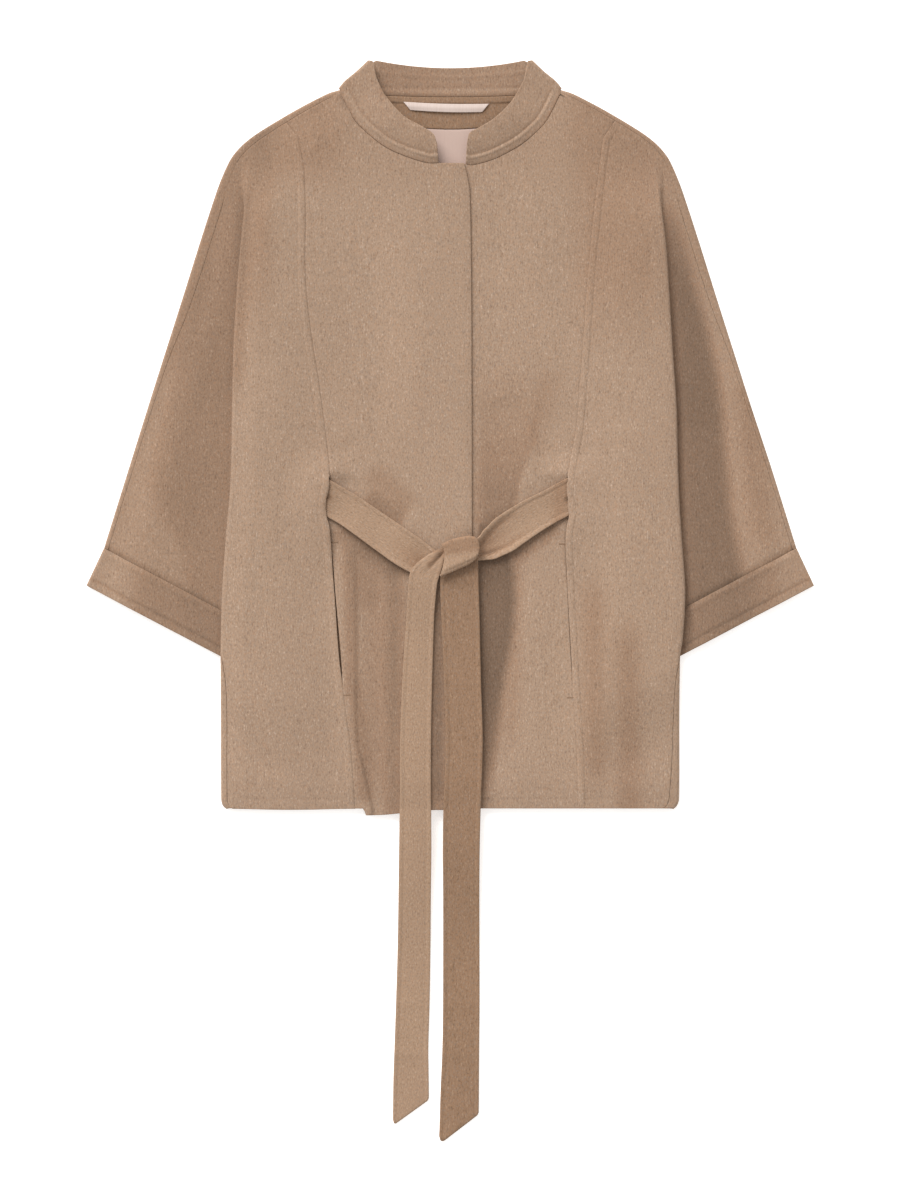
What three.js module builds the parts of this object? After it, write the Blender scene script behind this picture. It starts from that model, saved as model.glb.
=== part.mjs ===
// A short wool coat with kimono sleeves, a band collar and a tie belt, laid flat with its front up.
// Millimetres. While it is worked out, x runs across the coat from its centre line, y runs up from the hem
// and z runs up from the table. The whole coat is moved to its own centre at the end.
import * as THREE from 'three';

// ---- Driving sizes ----------------------------------------------------------------------------------
const CLOTH = 2.2; // double-faced wool coating
const BELT_CLOTH = 2.6; // the belt, sewn double and turned
const FACING_CLOTH = 1.6;
const LINING_CLOTH = 1.0;
const SEAM = 0.3; // the gap between two pieces at a seam
const TURN = 2.0; // radius of a folded edge, to the middle of the cloth
const QUARTER = (Math.PI / 2) * TURN; // length of cloth in a quarter of that fold
const BACK_Z = CLOTH / 2; // middle of the cloth that lies on the table
const FRONT_Z = BACK_Z + 2 * TURN; // middle of the cloth that lies on it
const LOFT = 2.1; // how far the front stands off where nothing presses it
const OVERLAP_RISE = 3.0; // the over front above the under front
const UNDERARM = 378.5; // height of the underarm above the hem
const ON_PANEL = CLOTH / 2 + SEAM + BELT_CLOTH / 2; // belt's middle above the middle of the cloth under it

// ---- Outlines and seams: half widths from the centre line at heights above the hem ------------------
// "left" and "right" are as the laid coat shows them, so left is the wearer's right side.
const ARM_EDGE = [
  { y: 722, half: 110.5 },
  { y: 698.5, half: 155.7 },
  { y: 678.5, half: 189.2 },
  { y: 668.5, half: 203.2 },
  { y: 658.5, half: 213.6 },
  { y: 648.5, half: 220.8 },
  { y: 628.5, half: 229.9 },
  { y: 608.5, half: 237 },
  { y: 568.5, half: 250 },
  { y: 418.5, half: 297.4 },
  { y: 259, half: 347.2 },
];
// The body's side, folded over the sleeve down to the cuff and free below it.
const BODY_EDGE = [
  { y: 690, left: 196, right: 198 },
  { y: 658, left: 204, right: 208 },
  { y: 633, left: 206.4, right: 210.2 },
  { y: 606, left: 205.4, right: 210.4 },
  { y: 564, left: 210.2, right: 214.3 },
  { y: 520, left: 214.2, right: 217 },
  { y: 460, left: 218.2, right: 220.5 },
  { y: 402, left: 220.9, right: 224.5 },
  { y: 340, left: 222.4, right: 226.7 },
  { y: 272, left: 226.2, right: 230.2 },
  { y: 218, left: 229.2, right: 232.5 },
  { y: 155, left: 229.5, right: 229.8 },
  { y: 10, left: 229.5, right: 229.5 },
  { y: 3, left: 228, right: 227.5 },
  { y: 0, left: 224.5, right: 224 },
];
// The seam down the top of the sleeve, as a distance in from the sleeve's outer edge.
const OVERARM_SEAM = [
  { y: 722, left: 5, right: 4.4 },
  { y: 676, left: 7, right: 4.4 },
  { y: 650, left: 7.5, right: 5 },
  { y: 595, left: 10.5, right: 8.5 },
  { y: 507, left: 10, right: 8 },
  { y: 444, left: 5.5, right: 4.8 },
  { y: 259, left: 4.6, right: 4.4 },
];
// The seam between the centre front and the side front, from shoulder to hem.
const PRINCESS_SEAM = [
  { y: 694, left: 154.5, right: 158.5 },
  { y: 666, left: 151.2, right: 152.6 },
  { y: 643, left: 146.6, right: 149.2 },
  { y: 603, left: 144.8, right: 144.6 },
  { y: 532, left: 144.8, right: 137.6 },
  { y: 478, left: 139.5, right: 133.8 },
  { y: 420, left: 130.5, right: 129.5 },
  { y: 378, left: 125, right: 125.8 },
  { y: 329, left: 120.4, right: 116.9 },
  { y: 292, left: 124, right: 118.8 },
  { y: 265, left: 119.2, right: 115.2 },
  { y: 114, left: 106.6, right: 123 },
  { y: 61, left: 99.5, right: 126.5 },
  { y: 0, left: 95, right: 128.2 },
];
const OVER_EDGE = 22; // the over front's edge at the hem
const OVER_FRONT_EDGE = [
  { y: 645, x: 13.8 },
  { y: 631, x: 17.2 },
  { y: 614, x: 19.5 },
  { y: 496, x: 21.2 },
  { y: 0, x: OVER_EDGE },
];
const UNDER_FRONT_EDGE = -25; // the under front's hidden edge
// The body's side seam, as the length of cloth from the folded edge: less than nothing is underneath.
const SIDE_SEAM = [
  { y: 378.5, left: -28, right: -30 },
  { y: 371, left: -28, right: -31 },
  { y: 362, left: -24, right: -27 },
  { y: 340, left: -14, right: -15 },
  { y: 318, left: -5, right: -5 },
  { y: 300, left: -0.5, right: -0.5 },
  { y: 170, left: -0.5, right: -0.5 },
  { y: 120, left: 6, right: 5 },
  { y: 45, left: 6.5, right: 8 },
  { y: 0, left: 6.5, right: 11 },
];
// How the cloth beside the armpit folds: its turn in degrees and the flat length between its two bends.
const ARM_TUCK = [
  { y: 700, turn: 0, flat: 1 },
  { y: 634, turn: 4, flat: 1 },
  { y: 620, turn: 40, flat: 3 },
  { y: 605, turn: 80, flat: 3.6 },
  { y: 588, turn: 122, flat: 3 },
  { y: 568, turn: 155, flat: 3.6 },
  { y: 548, turn: 170, flat: 6 },
  { y: 524, turn: 178, flat: 12 },
  { y: 500, turn: 180, flat: 17 },
  { y: 378, turn: 180, flat: 20.5 },
];
// Rows of the side front down to the underarm: heights at its three lines.
const ARM_ROWS = [
  { princess: 692, fold: 664, overarm: 650 },
  { princess: 671, fold: 648, overarm: 633 },
  { princess: 652, fold: 634, overarm: 618 },
  { princess: 635, fold: 620, overarm: 604 },
  { princess: 617, fold: 605, overarm: 590 },
  { princess: 597, fold: 588, overarm: 575 },
  { princess: 575, fold: 568, overarm: 558 },
  { princess: 552, fold: 547, overarm: 540 },
  { princess: 525, fold: 522, overarm: 519 },
  { princess: 492, fold: 491, overarm: 493 },
  { princess: 455, fold: 455, overarm: 466 },
  { princess: 416, fold: 416, overarm: 436 },
  { princess: UNDERARM, fold: UNDERARM, overarm: 404 },
];
// Rows of the back down to the underarm, with the side front's own heights down the sleeve.
const BACK_ROWS = [
  { centre: 712, overarm: 720.8 },
  { centre: 702, overarm: 706 },
  { centre: 690, overarm: 692 },
  { centre: 675, overarm: 671 },
  { centre: 657, overarm: 650 },
  { centre: 640, overarm: 633 },
  { centre: 624, overarm: 618 },
  { centre: 608, overarm: 604 },
  { centre: 592, overarm: 590 },
  { centre: 576, overarm: 575 },
  { centre: 558, overarm: 558 },
  { centre: 539, overarm: 540 },
  { centre: 516, overarm: 519 },
  { centre: 488, overarm: 493 },
  { centre: 455, overarm: 466 },
  { centre: 418, overarm: 436 },
  { centre: UNDERARM, overarm: 404 },
];
// Rows of the sleeve from the underarm to the cuff: heights at its outer and inner edges.
const SLEEVE_ROWS = [
  { overarm: 404, under: UNDERARM },
  { overarm: 397, under: 371 },
  { overarm: 388, under: 362 },
  { overarm: 368, under: 338 },
  { overarm: 343, under: 305 },
  { overarm: 316, under: 262 },
  { overarm: 288, under: 218 },
  { overarm: 260.5, under: 175.5 },
];
// Rows of the body below the underarm.
const BODY_ROWS = [
  UNDERARM, 371, 362, 346, 330, 310, 288, 262, 215, 168, 152, 136, 120, 98, 50, 12, 3.5, 0,
];
const SLEEVE_UNDER_EDGE = [
  { y: UNDERARM, half: 196.2 },
  { y: 174, half: 186.4 },
];
// The cuff's outer and inner ends, at its seam and at its open edge.
const CUFF = {
  seam: { outer: { x: 346.8, y: 260.5 }, inner: { x: 186.4, y: 175.1 } },
  edge: { outer: { x: 364.4, y: 223 }, inner: { x: 187, y: 129.6 } },
};
// Largest folds of the laid cloth: from one point to another, half width and height.
const FOLDS = [
  { name: 'hollow right of the tails', x0: 46, y0: 262, x1: 38, y1: 40, width: 15, rise: -1.6 },
  { name: 'roll left of the pleat', x0: -104, y0: 250, x1: -88, y1: 10, width: 13, rise: 1.3 },
  { name: 'pleat line', x0: -92, y0: 262, x1: -80, y1: 0, width: 8, rise: -1.2 },
  { name: 'hollow over the belt', x0: 44, y0: 362, x1: 62, y1: 296, width: 22, rise: -0.8 },
  { name: 'drag above the belt', x0: -104, y0: 368, x1: -44, y1: 284, width: 14, rise: -0.7 },
  { name: 'side roll inner', x0: 148, y0: 112, x1: 140, y1: 6, width: 12, rise: 1.4 },
  { name: 'side roll outer', x0: 186, y0: 112, x1: 182, y1: 6, width: 12, rise: 1.2 },
  { name: 'left side roll', x0: -160, y0: 120, x1: -170, y1: 6, width: 16, rise: 1.2 },
  { name: 'right sleeve hollow', x0: 222, y0: 590, x1: 262, y1: 372, width: 13, rise: -1.4 },
  { name: 'right sleeve hollow, lower', x0: 262, y0: 372, x1: 282, y1: 240, width: 13, rise: -1.4 },
  { name: 'left sleeve ridge', x0: -236, y0: 560, x1: -300, y1: 300, width: 18, rise: 1.2 },
];

// ---- Arithmetic -------------------------------------------------------------------------------------
const clamp = (value, low, high) => Math.min(Math.max(value, low), high);
const mix = (a, b, t) => a + (b - a) * t;

function ease(t) {
  const k = clamp(t, 0, 1);
  return k * k * (3 - 2 * k);
}

// Reads one column of a table at a height, with smooth slopes between its rows.
function column(table, name, y) {
  const last = table.length - 1;
  if (y >= table[0].y) {
    return table[0][name];
  }
  if (y <= table[last].y) {
    return table[last][name];
  }
  const i = table.findIndex((row, k) => k < last && y <= row.y && y >= table[k + 1].y);
  const slope = (k) => {
    const a = table[Math.max(k - 1, 0)];
    const b = table[Math.min(k + 1, last)];
    return (b[name] - a[name]) / (b.y - a.y);
  };
  const step = table[i + 1].y - table[i].y;
  const t = (y - table[i].y) / step;
  const a = table[i][name];
  const b = table[i + 1][name];
  const h = t * t * (3 - 2 * t);
  const start = t * (1 - t) * (1 - t) * step * slope(i);
  const end = t * t * (1 - t) * step * slope(i + 1);
  return mix(a, b, h) + start - end;
}

const sideName = (side) => (side < 0 ? 'left' : 'right');
const armEdge = (y) => column(ARM_EDGE, 'half', y);
const bodyEdge = (side, y) => column(BODY_EDGE, sideName(side), y);
const princess = (side, y) => column(PRINCESS_SEAM, sideName(side), y);
const overarmSeam = (side, y) => column(OVERARM_SEAM, sideName(side), y);
const sideSeam = (side, y) => column(SIDE_SEAM, sideName(side), y);
const underEdge = (y) => column(SLEEVE_UNDER_EDGE, 'half', y);

function distanceToFold(fold, x, y) {
  const along = new THREE.Vector2(fold.x1 - fold.x0, fold.y1 - fold.y0);
  const from = new THREE.Vector2(x - fold.x0, y - fold.y0);
  const t = from.dot(along) / along.lengthSq();
  const off = from.clone().addScaledVector(along, -clamp(t, 0, 1)).length();
  const fade = ease(Math.min(t, 1 - t) / 0.2 + 0.3);
  return { off, fade };
}

function foldHeight(x, y) {
  return FOLDS.reduce((sum, fold) => {
    const { off, fade } = distanceToFold(fold, x, y);
    return sum + fold.rise * fade * (1 - ease(off / (2 * fold.width)));
  }, 0);
}

// ---- The fold beside the armpit ---------------------------------------------------------------------
// A path in (out, up), from the body's top layer round its edge, back underneath and out along the sleeve.
const BENDS = 4;
function tuckPath(y) {
  const turn = THREE.MathUtils.degToRad(column(ARM_TUCK, 'turn', y));
  const flat = column(ARM_TUCK, 'flat', y);
  const bend = Math.max(2 * TURN * Math.sin(turn / (2 * BENDS)), 0.8);
  const path = [new THREE.Vector2(0, 0)];
  const step = (angle, length) => {
    const end = path[path.length - 1];
    path.push(new THREE.Vector2(end.x + length * Math.cos(angle), end.y - length * Math.sin(angle)));
  };
  for (let i = 0; i < BENDS; i += 1) {
    step((turn * (i + 0.5)) / BENDS, bend);
  }
  step(turn, flat);
  for (let i = BENDS - 1; i >= 0; i -= 1) {
    step((turn * (i + 0.5)) / BENDS, bend);
  }
  const reach = Math.max(...path.map((p) => p.x));
  const drop = -path[path.length - 1].y;
  return { path, reach: turn > 1.5 ? reach : path[BENDS / 2].x, drop };
}

// ---- Heights of the layers --------------------------------------------------------------------------
const SLEEVE_STACK = 4 * TURN; // the two layers of sleeve under the body's side
const cuffLine = (half) => {
  const { outer, inner } = CUFF.edge;
  return mix(inner.y, outer.y, (half - inner.x) / (outer.x - inner.x));
};

// How far the sleeve lifts the body's side at this height.
function sleeveLift(half, y) {
  if (y > UNDERARM) {
    return tuckPath(y).drop;
  }
  return SLEEVE_STACK * ease((y - cuffLine(half) + 36) / 34);
}

function innerFoldLine(side, y) {
  if (y <= UNDERARM) {
    return underEdge(y);
  }
  const { path, reach } = tuckPath(y);
  return bodyEdge(side, y) - CLOTH - reach + Math.min(path[path.length - 1].x, 0) - TURN;
}

function backHeight(side, half, y) {
  if (y >= UNDERARM) {
    return BACK_Z;
  }
  const start = ease((UNDERARM - y) / 16);
  const across = ease((half - underEdge(y) + 30) / 33);
  return BACK_Z + sleeveLift(half, y) * start * across;
}

function frontHeight(side, half, y) {
  const fromShoulder = (armEdge(y) - half) * mix(1, 0.55, ease((y - 560) / 60));
  const fromSide = bodyEdge(side, y) - half;
  const hem = 1 - 0.7 * ease((30 - y) / 40);
  const loft = LOFT * ease(fromShoulder / 40) * ease(fromSide / 30) * hem;
  const across = ease((half - innerFoldLine(side, y) + 50) / 48);
  return FRONT_Z + loft + sleeveLift(half, y) * across + foldHeight(side * half, y) * (1 - across);
}

function sleeveHeight(side, half, y) {
  const fromBody = half - bodyEdge(side, y);
  const fromSeam = armEdge(y) - overarmSeam(side, y) - half;
  return FRONT_Z + (LOFT + foldHeight(side * half, y)) * ease(fromBody / 22) * ease(fromSeam / 26);
}

const overRise = (x) => OVERLAP_RISE * ease((x + 78) / 45);
const overHeight = (x, y) => frontHeight(Math.sign(x) || 1, Math.abs(x), y) + overRise(x);
const underHeight = (x, y) => frontHeight(Math.sign(x) || 1, Math.abs(x), y);

// The middle of whatever cloth is on top at the centre front, with the step at the over front's edge eased.
function coverHeight(x, y) {
  const past = ease((x - column(OVER_FRONT_EDGE, 'x', y)) / 14);
  return mix(overHeight(Math.min(x, OVER_EDGE), y), underHeight(x, y), past);
}

// ---- Edges ------------------------------------------------------------------------------------------
// A point at a length of cloth from the sleeve's folded outer edge: more than nothing is on the front.
function armRim(side, y, length) {
  const slope = armEdge(y + 0.5) - armEdge(y - 0.5);
  const out = new THREE.Vector2(1, -slope).normalize();
  const angle = clamp(length, -QUARTER, QUARTER) / TURN;
  const past = Math.abs(length) - QUARTER;
  const reach = past > 0 ? -past : TURN * Math.cos(angle);
  const offset = reach - CLOTH / 2 - TURN;
  const z = BACK_Z + TURN + TURN * Math.sin(angle);
  return new THREE.Vector3(side * (armEdge(y) + out.x * offset), y + out.y * offset, z);
}

// The same for the body's folded side below the underarm.
function bodyRim(side, y, length) {
  const edge = bodyEdge(side, y);
  const angle = clamp(length, -QUARTER, QUARTER) / TURN;
  const past = Math.abs(length) - QUARTER;
  const centre = edge - CLOTH / 2 - TURN;
  if (past > 0) {
    const half = centre - past;
    const z = length > 0 ? frontHeight(side, half, y) : backHeight(side, half, y);
    return new THREE.Vector3(side * half, y, z);
  }
  const low = backHeight(side, centre, y);
  const high = frontHeight(side, centre, y);
  const z = mix(low, high, (1 + Math.sin(angle)) / 2);
  return new THREE.Vector3(side * (centre + TURN * Math.cos(angle)), y, z);
}

// The sleeve's inner edge: the angle runs from a quarter turn on the front to one on the back.
function underRim(side, row, angle) {
  const inner = new THREE.Vector2(underEdge(row.under), row.under);
  const outer = new THREE.Vector2(armEdge(row.overarm), row.overarm);
  const along = outer.sub(inner).normalize();
  const p = inner.addScaledVector(along, CLOTH / 2 + TURN - TURN * Math.cos(angle));
  return new THREE.Vector3(side * p.x, p.y, BACK_Z + TURN + TURN * Math.sin(angle));
}

// The seam down the shoulder and the sleeve, straight between the back's own rows.
function overarmPoint(side, y, gap) {
  const i = BACK_ROWS.findIndex((row, k) => k + 1 < BACK_ROWS.length && y >= BACK_ROWS[k + 1].overarm);
  const [above, below] = [BACK_ROWS[i].overarm, BACK_ROWS[i + 1].overarm];
  const a = armRim(side, above, overarmSeam(side, above) + gap);
  const b = armRim(side, below, overarmSeam(side, below) + gap);
  return a.lerp(b, (above - y) / (above - below));
}

function between(a, b, count) {
  return Array.from({ length: count }, (_, i) => a.clone().lerp(b, (i + 1) / (count + 1)));
}

// ---- Walls of cloth ---------------------------------------------------------------------------------
// Joins grids of points into one sheet, gives it a thickness and closes its edges.
function wall(grids, thickness) {
  const points = [];
  const keys = new Map();
  const faces = [];
  const place = (p) => {
    const key = `${Math.round(p.x * 500)},${Math.round(p.y * 500)},${Math.round(p.z * 500)}`;
    if (!keys.has(key)) {
      keys.set(key, points.length);
      points.push(p);
    }
    return keys.get(key);
  };
  const face = (a, b, c) => {
    if (a !== b && b !== c && c !== a) {
      faces.push([a, b, c]);
    }
  };
  for (const grid of grids) {
    for (let i = 0; i + 1 < grid.length; i += 1) {
      for (let j = 0; j + 1 < grid[i].length; j += 1) {
        const corners = [grid[i][j], grid[i + 1][j], grid[i + 1][j + 1], grid[i][j + 1]].map(place);
        face(corners[0], corners[1], corners[2]);
        face(corners[0], corners[2], corners[3]);
      }
    }
  }
  const normals = points.map(() => new THREE.Vector3());
  const edges = new Map();
  for (const [a, b, c] of faces) {
    const ab = points[b].clone().sub(points[a]);
    const ac = points[c].clone().sub(points[a]);
    const normal = ab.cross(ac);
    [a, b, c].forEach((k) => normals[k].add(normal));
    for (const [from, to] of [[a, b], [b, c], [c, a]]) {
      edges.set(`${from},${to}`, [from, to]);
    }
  }
  normals.forEach((n) => n.normalize());
  const count = points.length;
  const positions = [];
  for (const side of [1, -1]) {
    points.forEach((p, k) => {
      const moved = p.clone().addScaledVector(normals[k], (side * thickness) / 2);
      positions.push(moved.x, moved.y, moved.z);
    });
  }
  const index = [];
  for (const [a, b, c] of faces) {
    index.push(a, b, c, a + count, c + count, b + count);
  }
  for (const [from, to] of edges.values()) {
    if (!edges.has(`${to},${from}`)) {
      index.push(to, from, from + count, to, from + count, to + count);
    }
  }
  const geometry = new THREE.BufferGeometry();
  geometry.setAttribute('position', new THREE.Float32BufferAttribute(positions, 3));
  geometry.setIndex(index);
  geometry.computeVertexNormals();
  return geometry;
}

// ---- The back, with both sleeve backs ---------------------------------------------------------------
const RIM_STEPS = [QUARTER, QUARTER / 2, 0, -QUARTER / 2, -QUARTER, -12];
const BODY_COLUMNS = 11; // from the armpit line to the centre
const NEAR_COLUMNS = 9; // those of them that lie close to the armpit
const NEAR_STEP = 2.4; // how far apart those are
const EDGE_STEP = 0.35; // width of the first column beside the side seam
const RIM_STEP = 1.2; // least width of the next ones round the fold

function armRimColumns(side, y, rank) {
  const seam = overarmSeam(side, y) - SEAM / 2;
  const steps = rank === 0 ? [...RIM_STEPS.slice(0, -1), -5] : RIM_STEPS;
  return [seam, ...steps].map((length) => armRim(side, y, length));
}

function backNeck(half) {
  return 712 + 4 * (half / 105) ** 2;
}

// Columns from the sleeve's edge to the coat's centre, for a row above the underarm.
function backUpperHalf(side, row, rank) {
  const rim = armRimColumns(side, row.overarm, rank);
  const inner = rim[rim.length - 1];
  const t = rank / (BACK_ROWS.length - 1);
  const armpitHalf = mix(0.8 * Math.abs(inner.x), underEdge(UNDERARM), ease(t));
  const line = (half) => {
    const share = clamp(half / Math.abs(inner.x), 0, 1);
    const straight = mix(row.centre, inner.y, share);
    const y = rank === 0 ? backNeck(half) : straight;
    return new THREE.Vector3(side * half, y, BACK_Z);
  };
  const sleeve = [1, 2, 3].map((k) => line(mix(Math.abs(inner.x), armpitHalf, k / 4)));
  const body = Array.from({ length: BODY_COLUMNS + 1 }, (_, k) => {
    const even = armpitHalf * (1 - k / BODY_COLUMNS);
    const near = armpitHalf - NEAR_STEP * k;
    const left = (BODY_COLUMNS - k) / (BODY_COLUMNS - NEAR_COLUMNS);
    const far = (armpitHalf - NEAR_STEP * NEAR_COLUMNS) * left;
    return line(mix(even, k <= NEAR_COLUMNS ? near : far, ease(t * t)));
  });
  return [...rim, ...sleeve, ...body];
}

// Columns from the side seam to the centre, for a row below the underarm.
function backLowerHalf(side, y) {
  const seam = sideSeam(side, y) - 2 * SEAM;
  const steps = [seam, seam - EDGE_STEP, 0, -QUARTER / 2, -QUARTER];
  const most = (k) => seam - EDGE_STEP * Math.min(k, 1) - RIM_STEP * Math.max(k - 1, 0);
  const points = steps.map((length, k) => bodyRim(side, y, Math.min(length, most(k))));
  const last = Math.abs(points[points.length - 1].x);
  const foot = underEdge(y) - 31;
  const slope = [0.22, 0.45, 0.68, 0.84, 1].map((t) => mix(last, foot, t));
  const flat = [0.5, 0].map((t) => foot * t);
  [...slope, ...flat].forEach((half) => {
    points.push(new THREE.Vector3(side * half, y, backHeight(side, half, y)));
  });
  return points;
}

const UNDER_STEPS = [Math.PI / 2, Math.PI / 4, 0.4, 0.3]; // angles round the sleeve's inner edge

function backSleeve(side) {
  return SLEEVE_ROWS.map((row, rank) => {
    const rim = armRimColumns(side, row.overarm);
    const flatEdge = underEdge(row.under) + (rank === 1 ? 2.5 : 0);
    const closed = rank > 1;
    const edge = UNDER_STEPS.map((angle, k) =>
      closed
        ? underRim(side, row, -angle)
        : new THREE.Vector3(side * (flatEdge + 1.6 * (3 - k)), row.under, BACK_Z),
    );
    const flat = between(rim[rim.length - 1], edge[0], 2);
    return [...rim, ...flat, ...edge];
  });
}

function makeBack() {
  const grids = [];
  const halves = [-1, 1].map((side) => BACK_ROWS.map((row, rank) => backUpperHalf(side, row, rank)));
  const armpit = halves[0][0].length - 1 - BODY_COLUMNS;
  const lowest = BACK_ROWS.length - 1;
  const sleeves = [-1, 1].map(backSleeve);
  // The sleeve's first row is the last row above the underarm, out to the armpit.
  sleeves.forEach((sleeve, k) => {
    sleeve[0] = halves[k][lowest].slice(0, armpit + 1);
    while (sleeve[0].length < sleeve[1].length) {
      const at = armpit - 1;
      sleeve[0].splice(at, 0, sleeve[0][at].clone().lerp(sleeve[0][at - 1], 0.5));
    }
  });
  halves.forEach((half, k) => {
    half[lowest] = [...sleeves[k][0], ...half[lowest].slice(armpit + 1)];
    for (let i = 0; i < lowest; i += 1) {
      while (half[i].length < half[lowest].length) {
        half[i].splice(armpit - 1, 0, half[i][armpit - 1].clone().lerp(half[i][armpit - 2], 0.5));
      }
    }
  });
  const join = (left, right) => [...left, ...[...right].reverse().slice(1)];
  grids.push(halves[0].map((row, i) => join(row, halves[1][i])));
  const body = BODY_ROWS.map((y) => join(backLowerHalf(-1, y), backLowerHalf(1, y)));
  body[0] = join(...halves.map((half) => half[lowest].slice(half[lowest].length - 1 - BODY_COLUMNS)));
  grids.push(body);
  grids.push(sleeves[0]);
  grids.push(sleeves[1].map((row) => [...row].reverse()));
  return wall(grids, CLOTH);
}

// ---- The side fronts, each cut in one with its sleeve front -----------------------------------------
const SLEEVE_COLUMNS = 5;
const SIDE_COLUMNS = 6;

// The slot's lip stands over the belt between two heights, and the cloth beyond it falls back.
const SLOT = { low: 266, high: 360, ramp: 20, rise: 5.6, flat: 24, fall: 34 };
function slotLift(side, half, y) {
  const beside = 1 - ease((half - princess(side, y) - SLOT.flat) / SLOT.fall);
  const along = ease((y - SLOT.low) / SLOT.ramp) * ease((SLOT.high - y) / SLOT.ramp);
  return SLOT.rise * beside * along;
}

// The pocket's mouth gapes a little on the left and is almost shut on the right.
const MOUTH = { low: 112, high: 266, ramp: 28, left: 1.7, right: 0.5 };
function seamGap(side, y) {
  const open = ease((y - MOUTH.low) / MOUTH.ramp) * ease((MOUTH.high - y) / MOUTH.ramp);
  return SEAM + MOUTH[sideName(side)] * open;
}

function sidePoint(side, half, y) {
  const z = frontHeight(side, half, y) + slotLift(side, half, y);
  return new THREE.Vector3(side * half, y, z);
}

// The top row follows the shoulder seam.
function shoulderRow(side, row, columns) {
  return columns.map((_, k) => {
    const t = k / (columns.length - 1);
    return overarmPoint(side, mix(row.princess, row.overarm, t), SEAM / 2);
  });
}

function sideUpperRow(side, row, rank) {
  const { path, reach, drop } = tuckPath(row.fold);
  const start = bodyEdge(side, row.fold) - CLOTH / 2 - reach;
  const top = frontHeight(side, start, row.fold);
  const fold = path.map((p) => new THREE.Vector3(side * (start + p.x), row.fold, top + p.y));
  const settle = top - drop - FRONT_Z;
  fold.forEach((p, k) => {
    p.z -= (settle * k) / (fold.length - 1);
  });
  const seam = princess(side, row.princess) + seamGap(side, row.princess) / 2;
  const body = Array.from({ length: SIDE_COLUMNS }, (_, k) => {
    const t = k / SIDE_COLUMNS;
    return sidePoint(side, mix(seam, start, t), mix(row.princess, row.fold, t));
  });
  const outer = armRim(side, row.overarm, overarmSeam(side, row.overarm) + SEAM / 2);
  const inner = fold[fold.length - 1];
  const sleeve = between(inner, outer, SLEEVE_COLUMNS);
  sleeve.forEach((p) => {
    p.z = sleeveHeight(side, Math.abs(p.x), p.y);
  });
  const columns = [...body, ...fold, ...sleeve, outer];
  return rank === 0 ? shoulderRow(side, row, columns) : columns;
}

function sideLowerRow(side, y) {
  const nearArmpit = 1.2 * (1 - ease((UNDERARM - y - 8) / 16));
  const seam = sideSeam(side, y) + 2 * SEAM + nearArmpit;
  const steps = [QUARTER, QUARTER / 2, 0, -QUARTER / 2, -QUARTER, seam + 3, seam + EDGE_STEP, seam];
  const last = steps.length - 1;
  const least = (k) => seam + (RIM_STEP + 0.1) * Math.max(last - 1 - k, 0) + (k < last ? EDGE_STEP : 0);
  const fold = steps.map((length, k) => bodyRim(side, y, Math.max(length, least(k))));
  const start = Math.abs(fold[0].x);
  const inner = princess(side, y) + seamGap(side, y) / 2;
  const body = Array.from({ length: SIDE_COLUMNS }, (_, k) => {
    const half = mix(inner, start, k / SIDE_COLUMNS);
    return sidePoint(side, half, y);
  });
  return [...body, ...fold];
}

function sideSleeveRow(side, row) {
  const outer = armRim(side, row.overarm, overarmSeam(side, row.overarm) + SEAM / 2);
  const edge = [...UNDER_STEPS].reverse().map((angle) => underRim(side, row, angle));
  const sleeve = between(edge[3], outer, SLEEVE_COLUMNS);
  sleeve.forEach((p) => {
    p.z = sleeveHeight(side, Math.abs(p.x), p.y);
  });
  return [...edge, ...sleeve, outer];
}

function makeSideFront(side) {
  const upper = ARM_ROWS.map((row, rank) => sideUpperRow(side, row, rank));
  const last = upper[upper.length - 1];
  const armpit = SIDE_COLUMNS + BENDS + 1 + BENDS / 2;
  const body = BODY_ROWS.map((y) => sideLowerRow(side, y));
  body[0] = last.slice(0, armpit + 1);
  const sleeve = SLEEVE_ROWS.map((row) => sideSleeveRow(side, row));
  const opened = last.slice(armpit);
  sleeve[0] = [opened[0], opened[0].clone().lerp(opened[1], 0.3), ...opened.slice(1)];
  upper.forEach((row) => {
    row.splice(armpit + 1, 0, row[armpit].clone().lerp(row[armpit + 1], 0.3));
  });
  for (let k = 0; k < UNDER_STEPS.length; k += 1) {
    sleeve[1][k].lerp(sleeve[0][k].clone().setY(sleeve[1][k].y), 0.5);
  }
  return wall([upper, body, sleeve], CLOTH);
}

// ---- The centre fronts ------------------------------------------------------------------------------
// The neck seam from the front edge to the shoulder, over the left and the right of the laid coat.
const NECK = {
  left: [
    { x: -11.8, y: 645.2 },
    { x: -24, y: 645.4 },
    { x: -44, y: 651.5 },
    { x: -64.2, y: 661 },
    { x: -82, y: 674.5 },
    { x: -97.2, y: 690.5 },
    { x: -109.8, y: 714 },
  ],
  right: [
    { x: 15.5, y: 644.5 },
    { x: 24, y: 643.8 },
    { x: 45, y: 650 },
    { x: 68.8, y: 662.5 },
    { x: 84, y: 674.5 },
    { x: 96.8, y: 688.5 },
    { x: 109.8, y: 714 },
  ],
};

const toCurve = (points) => new THREE.CatmullRomCurve3(points, false, 'centripetal');

function spread(points, count) {
  const curve = toCurve(points);
  curve.arcLengthDivisions = 400;
  return curve.getSpacedPoints(count);
}

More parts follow.
